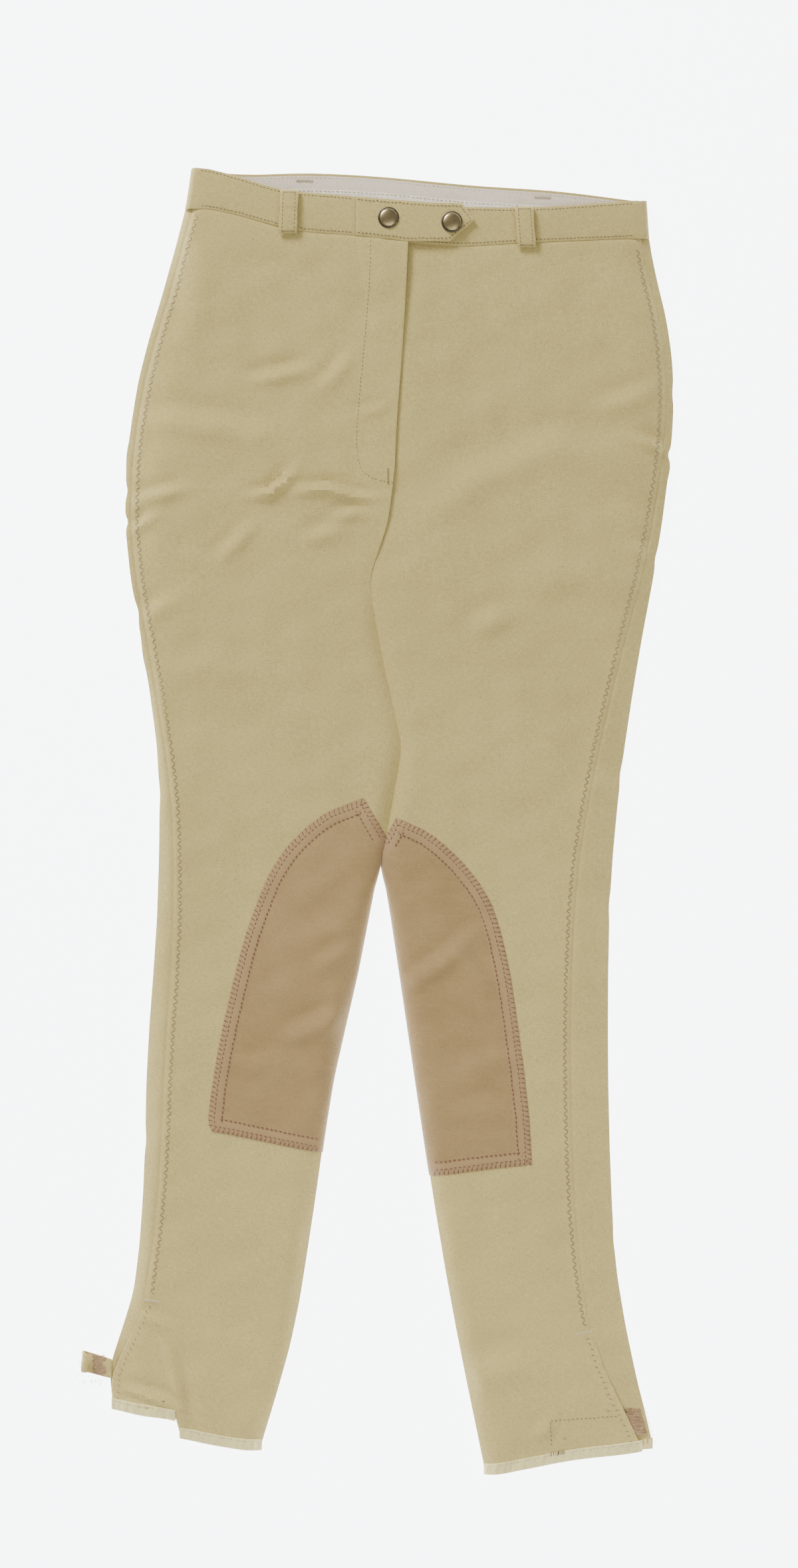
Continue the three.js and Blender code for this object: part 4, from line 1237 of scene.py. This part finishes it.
def patchLines(side):
    sign, (out, into) = sides[side], ((1, 0) if sides[side] > 0 else (0, 1))
    nodes = [f"knee_patch_upper_{side}", f"knee_patch_lower_{side}"]
    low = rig.box(nodes[1])[0][1] / metre
    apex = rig.box(nodes[0])[1][1] / metre
    outer = lineAlong(nodes, low + 16, apex - 1, 1, out, 3, 3, extend=True)
    inner = lineAlong(nodes, low, apex, 1, into, 0, 1.5)
    # the foot runs straight from the outer corner to the leg's inner fold
    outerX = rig.box(nodes[1])[out][0] / metre - sign * 1.5
    outerY = sliceOf(nodes[1:], outerX, 0)[0][1]
    innerX = float(legs[side]["inner"](low))

    def foot(x):
        return outerY + (np.asarray(x) - outerX) * (low - outerY) / (innerX - outerX)
    return outer, inner, foot, low, apex


def kneePatch(side):
    sign = sides[side]
    outer, inner, foot, low, apex = patchLines(side)
    legInner = legs[side]["inner"]
    start = apex - patch["foldFrom"][side]
    tipX = float(inner(apex - 1.5))
    leanX = float(legInner(start)) - sign * patch["wrapIn"]

    def innerEdge(y):
        # follows the leg's fold, then slants straight up to the tip
        y = np.asarray(y, float)
        slant = leanX + (tipX - leanX) * np.clip((y - start) / (apex - start), 0, 1)
        return np.where(y > start, slant, legInner(y) - sign * patch["wrapIn"])

    def outerEdge(y):
        y = np.asarray(y, float)
        corner = apex - patch["tip"]
        nearTip = np.clip((y - corner) / patch["tip"], 0, 1)
        return np.where(y > corner, blendOf(float(outer(corner)), tipX, nearTip), outer(y))

    tall = np.arange(low, apex, 1.0)
    wide = np.linspace(float(innerEdge(low)), float(outer(low)), 90)
    slanted = tall[tall > start]
    edgeSpots = np.concatenate([
        np.column_stack([outerEdge(tall), tall]), np.column_stack([wide, foot(wide)]),
        np.column_stack([innerEdge(slanted), slanted]), [[tipX, apex]]])

    def insetOf(x, y):
        far = np.full(np.shape(x), 1e3)
        for spot in edgeSpots:
            far = np.minimum(far, np.hypot(x - spot[0], y - spot[1]))
        return far

    y0 = np.arange(low + 4, apex - 0.4, patch["rowStep"])
    y0 = np.concatenate([y0[y0 < apex - 7], apex - np.array([6.6, 5.4, 4.3, 3.3, 2.4, 1.6, 0.9, 0.4])])
    share = np.concatenate([[0, 0.012, 0.03, 0.06], np.linspace(0.1, 0.92, patch["cols"] - 8), [0.95, 0.975, 0.99, 1]])
    y = np.repeat(y0[:, None], len(share), 1)
    foot0 = low + 4
    for turn in range(5):
        a, b = innerEdge(y), outerEdge(y)
        x = a + (b - a) * share
        y = y0[:, None] + (foot(x) - foot0) * (1 - ease(y0[:, None], foot0, foot0 + patch["footDepth"]))
    border = np.concatenate([
        np.column_stack([x[0], y[0]]), np.column_stack([x[:, -1], y[:, -1]]),
        np.column_stack([x[:, 0], y[:, 0]])[::-1]])
    inset = insetOf(x, y)
    edged = 1 - np.exp(-np.maximum(inset, 0) / patch["round"])
    z = frontHeight(side, x, y) + 0.15 + (patch["stand"] - 0.15) * edged
    z += 0.35 * np.exp(-(((inset - 6.6) / 2.2) ** 2)) - 0.35 * np.exp(-(((inset - 9.4) / 1.1) ** 2))
    dimples = patch["dimple"] * np.sin(x / 7.1 + 1.7 * np.sin(y / 12)) * np.sin(y / 8.3 + 0.8 * np.sin(x / 9))
    z += dimples * np.clip(inset / 20, 0, 1)
    wrapped = y < start - 1
    z[:, 0] = np.where(wrapped[:, 0], z[:, 0] - 1.9, z[:, 0])
    z[:, 1] = np.where(wrapped[:, 1], z[:, 1] - 0.6, z[:, 1])
    piece = sewGrids(f"{side}KneePatch", [np.dstack([x, y, z])], kneeSuede, flip=sign < 0,
                     thickness=patch["thickness"], edgeRound=0.25)
    spots = np.array([v.co[:2] for v in piece.data.vertices]) / metre
    inset = insetOf(spots[:, 0], spots[:, 1])
    share = 1 - ease(inset, patch["marginWidth"] - 1.2, patch["marginWidth"] + 1.2)
    margin = piece.data.attributes.new("margin", "FLOAT", "POINT")
    margin.data.foreach_set("value", share.astype(np.float32))
    attach(piece, bends[side], "suede", f"knee_patch_upper_{side}", f"knee_patch_lower_{side}")

    def top(a, b):
        return frontHeight(side, a, b) + patch["stand"] + 0.12

    onFold = (border[:, 1] < start - 2) & (np.abs(border[:, 0] - innerEdge(border[:, 1])) < 1.5)
    line = border[~onFold]
    rows = [straightStitches(offsetLine(line, sign * away, 2.0)[2:-2], top, 3.3, 2.3, 0.1)
            for away in (patch["edgeRow"], patch["innerRow"])]
    ladder = offsetLine(line, sign * 2.0, 2.0)[1:-1]
    rows.append(ladderStitches(ladder, lambda a, b: frontHeight(side, a, b) + 0.75, 3.4, 4.2, 0.6))
    sewn(f"{side}KneePatchStitches", np.concatenate(rows), patch["thread"], suedeThread, bends[side], "suede")
    return piece


kneePieces = {side: kneePatch(side) for side in sides}
print("knee patches made")

# Side seams: a zigzag row inside the seam on the front, and a bar tack where the slit begins.
seamSewing = {"inFromSeam": 4.6, "zigzagWidth": 3.2, "pitch": 5.0, "thread": 0.9}
for side, sign in sides.items():
    y = np.arange(slit[side] + 4, float(bandFoot[side](sign * 190)) - 3, 6.0)
    row = np.column_stack([legs[side]["seam"](y) - sign * seamSewing["inFromSeam"], y])

    def top(a, b, side=side):
        return frontHeight(side, a, b) + 0.05

    zigzag = zigzagStitches(row, top, seamSewing["pitch"], seamSewing["zigzagWidth"])
    sewn(f"{side}SideSeamStitches", zigzag, seamSewing["thread"], darkThreadAndStitchShade, bends[side])
    xSlit, ySlit = float(legs[side]["seam"](slit[side])), slit[side]
    bar = np.array([[xSlit - sign * 10, ySlit - 1.5], [xSlit + sign * 0.5, ySlit + 0.3]])
    sewn(f"{side}SlitTack", ladderStitches(bar, top, 0.8, 1.6, 0.2, 0.05), tackThread, paleThread, f"{side}_shin")
at = flyFoot - 11
bar = np.array([[float(flyEdge(at)) - 4, at + 4.5], [float(flyEdge(at)) - 4, at - 6.5]])
sewn("flyTack", ladderStitches(bar, flyHeight, 0.8, 2.0, 0.2, 0.05), tackThread, darkThreadAndStitchShade, "seat")
print("seam stitches made")

# Ankle flaps: the front's free corner below the slit, folded on its own line.
flap = {"thickness": 1.0, "rowStep": 2.2, "cols": 18, "bend": 8, "hemCover": 4, "hemDepth": 44, "stitchIn": 5.0}
flapBends = {}


def flapShape(side, h0, y0, columns):
    sign, lines = sides[side], legs[side]
    y = np.repeat(y0[:, None], len(columns), 1)
    for turn in range(5):
        a, b = lines["seam"](y), lines["slitEdge"](np.minimum(y, slit[side]))
        b = np.where(sign * (b - a) > 0, b, a)
        x = a + (b - a) * columns
        y = y0[:, None] + (lines["flap"](x) + flap["hemCover"] - h0) * (
            1 - ease(y0[:, None], h0, h0 + flap["hemDepth"]))
    return x, y


for side, sign in sides.items():
    lines = legs[side]
    h0 = float(lines["flap"](lines["slitEdge"](-420.0))) + flap["hemCover"]
    rows = np.linspace(h0, slit[side] - 0.2, round((slit[side] - h0) / flap["rowStep"]))
    columns = 1 - (1 - np.linspace(0, 1, flap["cols"])) ** 1.5
    x, y = flapShape(side, h0, rows, columns)
    z = frontHeight(side, x, y)
    z[:, -1] -= 0.25
    piece = sewGrids(f"{side}AnkleFlap", [np.dstack([x, y, z])], breechesCloth, flip=sign < 0,
                     thickness=flap["thickness"], edgeRound=0.3)
    a = np.array([float(lines["seam"](slit[side])), slit[side]])
    b = np.array([float(lines["seam"](h0 + 2)), h0 + 2])
    run = (b - a) / np.linalg.norm(b - a)
    aside = np.array([-run[1], run[0]])
    aside *= sign * (1 if aside[0] > 0 else -1)
    flapBends[side] = dict(a=f"{side}_shin", b=f"{side}_ankle_flap", start=(*(a * metre), 0),
                           end=(*((a + aside * flap["bend"]) * metre), 0))
    attach(piece, flapBends[side], "cloth", f"ankle_flap_{side}")
    # stitching along the slit's edge, ladder-like as it shows through from the facing
    inner = (np.column_stack([x[:, -1], y[:, -1]])[::-1] - np.array([sign * flap["stitchIn"], 0]))[2:]
    edging = ladderStitches(inner, lambda p, q, s=side: frontHeight(s, p, q) + 0.05, 4.2, 2.2, 0.9, 0.35)
    sewn(f"{side}SlitStitches", edging, 0.65, darkThreadAndStitchShade, flapBends[side])
print("ankle flaps made")

# Hem bindings: satin tape folded over the raw hem, gathered a little where it was eased on.
binding = {"width": 8.4, "stand": 0.75, "step": 1.2, "thickness": 0.5, "gather": 0.42, "backHeight": 1.15}
bindingRuns = {  # inner end, outer end (line, how far above the hem, how far aside), columns
    "front": (("inner", 3, -0.3), ("seam", 5, -0.2), 64),
    "flap": (("seam", 3, 0.1), ("slitEdge", 3, 0.4), 50),
    "back": (("inner", 3, 1.5), None, 90),
}


def bindingGrid(xs, foot, surface):
    # a tape wrapped round the hem: over the face, round the foot and up behind
    gathers = binding["gather"] * (np.sin(xs * 1.15 + 2 * np.sin(xs / 5.0)) + 0.6 * np.sin(xs * 0.55 + 1))
    ys, zs = [], []
    for share in (1.0, 0.97, 0.9, 0.75, 0.5, 0.25, 0.1, 0.02):
        ys.append(foot(xs) + binding["width"] * share)
        z = surface(xs, foot(xs) + legCloth["hemCover"] + binding["width"] * share * 0.6)
        proud = binding["stand"] * min(1, (1 - share) * 14 + 0.35) * (0.35 if share < 0.05 else 1)
        zs.append(z + proud + gathers * math.sin(math.pi * share) * 0.9)
    for up, drop in ((-0.1, 0.8), (1.4, 0.7), (binding["width"] - 1, 0.1)):
        ys.append(foot(xs) + up)
        zs.append(zs[-1] - drop)
    grid = np.dstack([np.repeat(xs[None], len(ys), 0), np.stack(ys), np.maximum(np.stack(zs), 0.1)])
    grid[:, (0, -1), 2] -= 0.25
    return grid


def hemBinding(side, part):
    sign, lines = sides[side], legs[side]
    name, node = f"{side}Hem{part.title()}", f"hem_binding_{part}_{side}"
    move = flapBends[side] if part == "flap" else f"{side}_shin"
    foot = lines[part]
    low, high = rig.box(node)
    xs = np.arange(low[0] / metre, high[0] / metre + 0.5, binding["step"])
    near, far = (xs[0], xs[-1]) if sign > 0 else (xs[-1], xs[0])
    inner, outer, count = bindingRuns[part]
    ends = [float(lines[inner[0]](foot(near) + inner[1])) + sign * inner[2]]
    ends.append(float(lines[outer[0]](foot(far) + outer[1])) + sign * outer[2] if outer else far)
    xs = np.linspace(min(ends), max(ends), count)

    def surface(a, b):
        return np.full(np.shape(a), binding["backHeight"]) if part == "back" else frontHeight(side, a, b)

    piece = sewGrids(name, [bindingGrid(xs, foot, surface)], hemSatin, flip=True, thickness=binding["thickness"])
    attach(piece, move, "binding", node)
    if part != "back":
        line = np.column_stack([xs[1:-1], foot(xs[1:-1]) + binding["width"] - 1.4])
        run = straightStitches(line, lambda a, b: surface(a, b) + binding["stand"] + 0.1, 2.6, 2.0, 0.1)
        sewn(name + "Stitches", run, 0.5, khakiThread, move)


for side in sides:
    for part in ("front", "back", "flap"):
        hemBinding(side, part)
print("hems bound")


# Fastening pads at the ankles: hook tape on the backs, loop tape under the flaps.
pad = {"thickness": 1.2, "fray": 0.35, "rows": 16, "columns": 20, "rightLoopShare": 0.88}


def padPiece(kind, side, surface, move):
    node = f"{kind}_pad_{side}"
    low, high = boxOf(node)
    ys = np.linspace(low.y + 0.3, high.y - 0.3, pad["rows"])
    cuts = [sliceOf([node], key, 1) for key in ys]
    columns = np.linspace(0, pad["rightLoopShare"] if node == "loop_pad_right" else 1, pad["columns"])
    x = np.array([a[0] + (b[0] - a[0]) * columns for a, b in cuts])
    y = np.repeat(ys[:, None], len(columns), 1)
    ragged = chance.normal(0, pad["fray"], x.shape)
    for end in (0, -1):
        x[:, end] += ragged[:, end]
        y[end] += ragged[end]
    z = surface(x, y) + chance.normal(0, 0.05, x.shape)
    attach(sewGrids(f"{kind}Pad{side.title()}", [np.dstack([x, y, z])], hookPile, thickness=pad["thickness"],
                    edgeRound=0.2), move, "hook", node)


def hookSurface(side):
    return lambda x, y: np.minimum(wrapHeight(side, x, y) + pad["thickness"] * 0.75,
                                   frontHeight(side, x, y) - flap["thickness"] - 0.2 + 2 * ease(
                                       sides[side] * (x - legs[side]["slitEdge"](y)), -0.5, 1.5))


def loopSurface(side):
    return lambda x, y: frontHeight(side, x, y) - flap["thickness"] + 0.1


padPiece("hook", "left", hookSurface("left"), "left_shin")
for side in ("left", "right"):
    padPiece("loop", side, loopSurface(side), flapBends[side])
outline = np.array([(124.5, -444), (123.2, -427), (170, -424.5)])
padStitches = straightStitches(outline, lambda p, q: frontHeight("left", p, q) + 0.08, 3.1, 2.1, 0.12)
sewn("leftPadStitches", padStitches, seamThread, darkThreadAndStitchShade, flapBends["left"])
darn = ladderStitches(np.array([(124.5, -451), (133.5, -449.5)]), lambda p, q: frontHeight("left", p, q) + 1.0,
                      0.9, 3.2, 0.4, 0.35)
sewn("leftHemDarn", darn, tackThread, darkThreadAndStitchShade, flapBends["left"])

# Ankle tab: a short strap sewn to the back's edge, its frayed end rolled up on itself.
ankleTab = {"width": 13.5, "thickness": 1.2, "rollRadius": 3.5, "fibres": 46, "rows": 14, "rise": 9}
tabLow, tabHigh = boxOf("ankle_tab_right")
tabMiddle = (tabLow.y + tabHigh.y) / 2
path = [(tabHigh.x + 3.0, 1.9), (tabHigh.x + 1.0, 1.9), (tabHigh.x - 2, 1.6), (tabHigh.x - 6, 1.3)]
centre = np.array([tabLow.x + ankleTab["rollRadius"] + 0.9, 1.3 + ankleTab["rollRadius"]])
for angle in np.linspace(-math.pi / 2 + 0.2, -math.pi * 1.86, 16):
    reach = ankleTab["rollRadius"] * (1 - 0.10 * (-angle / math.pi))
    path.append((centre[0] + reach * math.cos(angle), centre[1] + reach * math.sin(angle)))
path = np.array(path)
across = np.linspace(-0.5, 0.5, ankleTab["rows"])
rolled = np.linspace(0, 1, len(path))
xs = path[:, 0][:, None] + 1.0 * np.sin(5 * across)[None] * rolled[:, None]
widths = ankleTab["width"] + 1.6 * np.sin(4 * rolled)[:, None]
ys = tabMiddle + across[None] * widths - 2.5 * (rolled * (1 - rolled))[:, None]
ys = ys + ankleTab["rise"] * np.clip((tabHigh.x - xs) / 30, -0.3, 1)
zs = path[:, 1][:, None] + 0.2 * np.sin(9 * across)[None]
tabPiece = sewGrids("ankleTab", [np.dstack([xs, ys, np.maximum(zs, 1.15)])], breechesCloth, flip=True,
                    thickness=ankleTab["thickness"], edgeRound=0.25)
attach(tabPiece, "right_ankle_tab", "cloth", "ankle_tab_right")
padLow, padHigh = boxOf("hook_pad_right")
x, y = np.meshgrid(np.linspace(padLow.x - 0.6, padHigh.x, 12), np.linspace(padLow.y, padHigh.y, 14))
fringe = chance.normal(0, 0.4, x.shape)
x[:, 0] += fringe[:, 0]
y[0] += fringe[0]
y[-1] += fringe[-1]
y = y + 0.6 + ankleTab["rise"] * (tabHigh.x - x) / 30
hookPad = sewGrids("hookPadRight", [np.dstack([x, y, 2.9 + 0.05 * fringe])], hookPile, thickness=1.3, edgeRound=0.2)
attach(hookPad, "right_ankle_tab", "hook", "hook_pad_right")


def fibrePiece(name, roots, headings, length, body):
    segments = []
    for root, heading in zip(roots, headings):
        bend = chance.normal(0, 0.5, 3)
        reach = length * chance.uniform(0.5, 1.2)
        place = np.array(root, float)
        for step in range(3):
            onward = place + (np.array(heading) + bend * step * 0.5) * reach / 3
            onward[2] = max(onward[2], 0.25)
            segments.append((place, onward))
            place = onward
    sewn(name, segments, 0.24, khakiThread, body, rise=0.5)


roots, headings = [], []
for n in range(ankleTab["fibres"]):
    end = n % 3
    if end == 0:
        roots.append((chance.uniform(tabLow.x + 1, tabHigh.x - 1), tabLow.y - 0.2, chance.uniform(0.8, 2.4)))
        headings.append((chance.normal(0, 0.4), -1, chance.normal(0, 0.2)))
    elif end == 1:
        roots.append((tabLow.x + chance.uniform(0.5, 3), chance.uniform(tabLow.y + 2, tabHigh.y + 2),
                      chance.uniform(2, 6)))
        headings.append((-0.9, chance.normal(0, 0.6), chance.normal(0, 0.3)))
    else:
        roots.append((chance.uniform(padLow.x, padHigh.x), padHigh.y + 0.3, chance.uniform(2, 3.2)))
        headings.append((chance.normal(0, 0.5), 1, chance.normal(0.1, 0.3)))
fibrePiece("ankleTabFray", roots, headings, 3.2, "right_ankle_tab")
edgeY = np.linspace(-446, -420, 34)
roots = [(float(legs["left"]["outer"](y)) - 0.5, y, 2.2) for y in edgeY]
headings = [(1, chance.normal(0, 0.7), chance.normal(0, 0.2)) for n in roots]
fibrePiece("hookPadLeftFray", roots, headings, 2.8, "left_shin")
print("ankle fastenings made")

# Behind the fly: the shield, and the zip's tapes sewn to it.
shieldSpec = {"height": 5.6, "thickness": 1.0, "tapeThickness": 0.4, "step": 3.0, "wave": 0.15}


def plainStrip(name, node, height, finish, thickness, slot, wave):
    low, high = boxOf(node)
    ys = np.arange(low.y + 0.4, high.y - 0.2, shieldSpec["step"])
    cuts = [sliceOf([node], key, 1) for key in ys]
    share = np.linspace(0, 1, 9)
    x = np.array([a[0] + (b[0] - a[0]) * share for a, b in cuts])
    y = np.repeat(ys[:, None], len(share), 1)
    z = height + wave * np.sin(y / 11 + x / 7)
    strip = sewGrids(name, [np.dstack([x, y, z])], finish, thickness=thickness, edgeRound=0.15)
    attach(strip, "seat", slot, node)


plainStrip("flyShield", "fly_shield", shieldSpec["height"], breechesCloth, shieldSpec["thickness"], "cloth",
           shieldSpec["wave"])
for side in sides:
    plainStrip(f"zipTape{side.title()}", f"zip_tape_{side}", heightOf(f"zip_tape_{side}"), tapeWeave,
               shieldSpec["tapeThickness"], "tape", 0.0)
rowsOfTape = []
for node in ("zip_tape_right", "zip_tape_left"):
    low, high = boxOf(node)
    x = low.x + 1.6 if node.endswith("right") else high.x - 1.6
    rowsOfTape.append(straightStitches(np.array([(x, low.y + 2), (x, high.y - 2)]),
                                       level(high.z + 0.1), 2.8, 2.0, 0.05))
sewn("zipTapeStitches", np.concatenate(rowsOfTape), 0.45, khakiThread, "seat", "tape")
print("fly shield and zip tapes made")

# Underside: centre back seam and two darts, stitched.
backSewing = {"lift": 0.12, "dartLength": 78, "dartAt": (-70, 105)}
lines = []


def under(x, y):
    return backSewing["lift"] + 1.7 * ease(y, bandFoot["back"](x) - 35, bandFoot["back"](x) + 5)


y = np.arange(crotch + 8, float(bandFoot["back"](10.0)) - 3, 6)
for side, sign in sides.items():
    lines.append(straightStitches(np.column_stack([legs[side]["innerBack"](y) + sign * 2.4, y]), under, 3, 2.2))
for x in backSewing["dartAt"]:
    top = float(bandFoot["back"](x)) - 1
    for lean in (-5, 5):
        lines.append(straightStitches(np.array([(x + lean, top), (x + lean * 0.1, top - backSewing["dartLength"])]),
                                      under, 3, 2.2))
sewn("backStitches", np.concatenate(lines), seamThread, darkThreadAndStitchShade, "seat")

# What each cloth was cut to, in metres.
for side in sides:
    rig.sheet(legPieces[side], flat=(0.42, 0.93), held="laid", area=0.29)
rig.sheet(waistband, flat=(0.79, 0.028), held="laid")
for side in sides:
    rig.sheet(kneePieces[side], flat=(0.11, 0.26), held="laid", area=0.0205, rests_on=[legPieces[side]])
boxShares = {  # how much of the node's outline box each small sheet fills
    "waistTab": ("waist_tab", 0.85), "flyFlap": ("fly_flap", 0.5), "flyShield": ("fly_shield", 0.85),
    "rightAnkleFlap": ("ankle_flap_right", 0.5), "leftAnkleFlap": ("ankle_flap_left", 0.5),
}
for name, (node, boxShare) in boxShares.items():
    low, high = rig.box(node)
    wide, long = high.x - low.x, high.y - low.y
    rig.sheet(bpy.data.objects[name], flat=(wide, long), held="laid", area=boxShare * wide * long)
for name, width in (("bandFacing", 0.025), ("gripTape", 0.0125)):
    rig.sheet(bpy.data.objects[name], flat=(0.304, width), held="laid")


studio = {
    "floor": 12, "floorColour": (0.80, 0.84, 0.90),
    "keyPower": 122, "keySize": 0.9, "keyFrom": (-1.35, 2.3, 1.3),
    "fillPower": 44, "fillSize": 2.2, "fillFrom": (0.3, -1.05, 1.9),
    "world": (0.95, 0.97, 1.0), "worldStrength": 0.48, "floorGlow": 6.5, "glowColour": (0.93, 0.96, 1.0),
    "floorDrop": 0.0002,
}


def makeStudio():
    bpy.ops.mesh.primitive_plane_add(size=studio["floor"], location=(0, 0, 0))
    floor = bpy.context.object
    floor.name = "paleFloor"
    floor.data.transform(floor.matrix_world)
    floor.matrix_world.identity()
    for corner in floor.data.vertices:
        corner.co.z = -studio["floorDrop"]
    paper, tree, shader, place = newFinish("palePaper", 0.9)
    tree.links.new(tone(tree, grain(tree, place, (3, 3, 3), 3), [
        (0.3, shaded(studio["floorColour"], 0.985)), (0.7, studio["floorColour"])]), shader.inputs["Base Color"])
    shader.inputs["Emission Color"].default_value = (*studio["glowColour"], 1)
    shader.inputs["Emission Strength"].default_value = studio["floorGlow"]
    floor.data.materials.append(paper)
    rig.stage(floor)
    for name in ("key", "fill"):
        bpy.ops.object.light_add(type="AREA", location=studio[name + "From"])
        lamp = bpy.context.object
        lamp.name = name + "Light"
        lamp.data.energy = studio[name + "Power"]
        lamp.data.size = studio[name + "Size"]
        lamp.rotation_euler = (-lamp.location).to_track_quat("-Z", "Y").to_euler()
    world = bpy.data.worlds.new("softRoom")
    bpy.context.scene.world = world
    world.use_nodes = True
    world.node_tree.nodes["Background"].inputs["Color"].default_value = (*studio["world"], 1)
    world.node_tree.nodes["Background"].inputs["Strength"].default_value = studio["worldStrength"]


view = {"centre": (0.0157, 0.0265), "height": 1.62, "framed": 1.1175}


def makeCamera():
    bpy.ops.object.camera_add(location=(*view["centre"], view["height"]), rotation=(0, 0, 0))
    camera = bpy.context.object
    camera.data.sensor_fit = "VERTICAL"
    camera.data.sensor_height = 36
    camera.data.lens = 36 * (view["height"] - cadBounds[1].z / 2) / view["framed"]
    camera.data.clip_end = 20
    bpy.context.scene.camera = camera


makeStudio()
makeCamera()
print("studio and camera set")

sizes = {"cad": [list(corner) for corner in cadBounds], "visual": [list(corner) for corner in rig.bounds()]}
with open("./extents.json", "w") as report:
    json.dump(sizes, report)
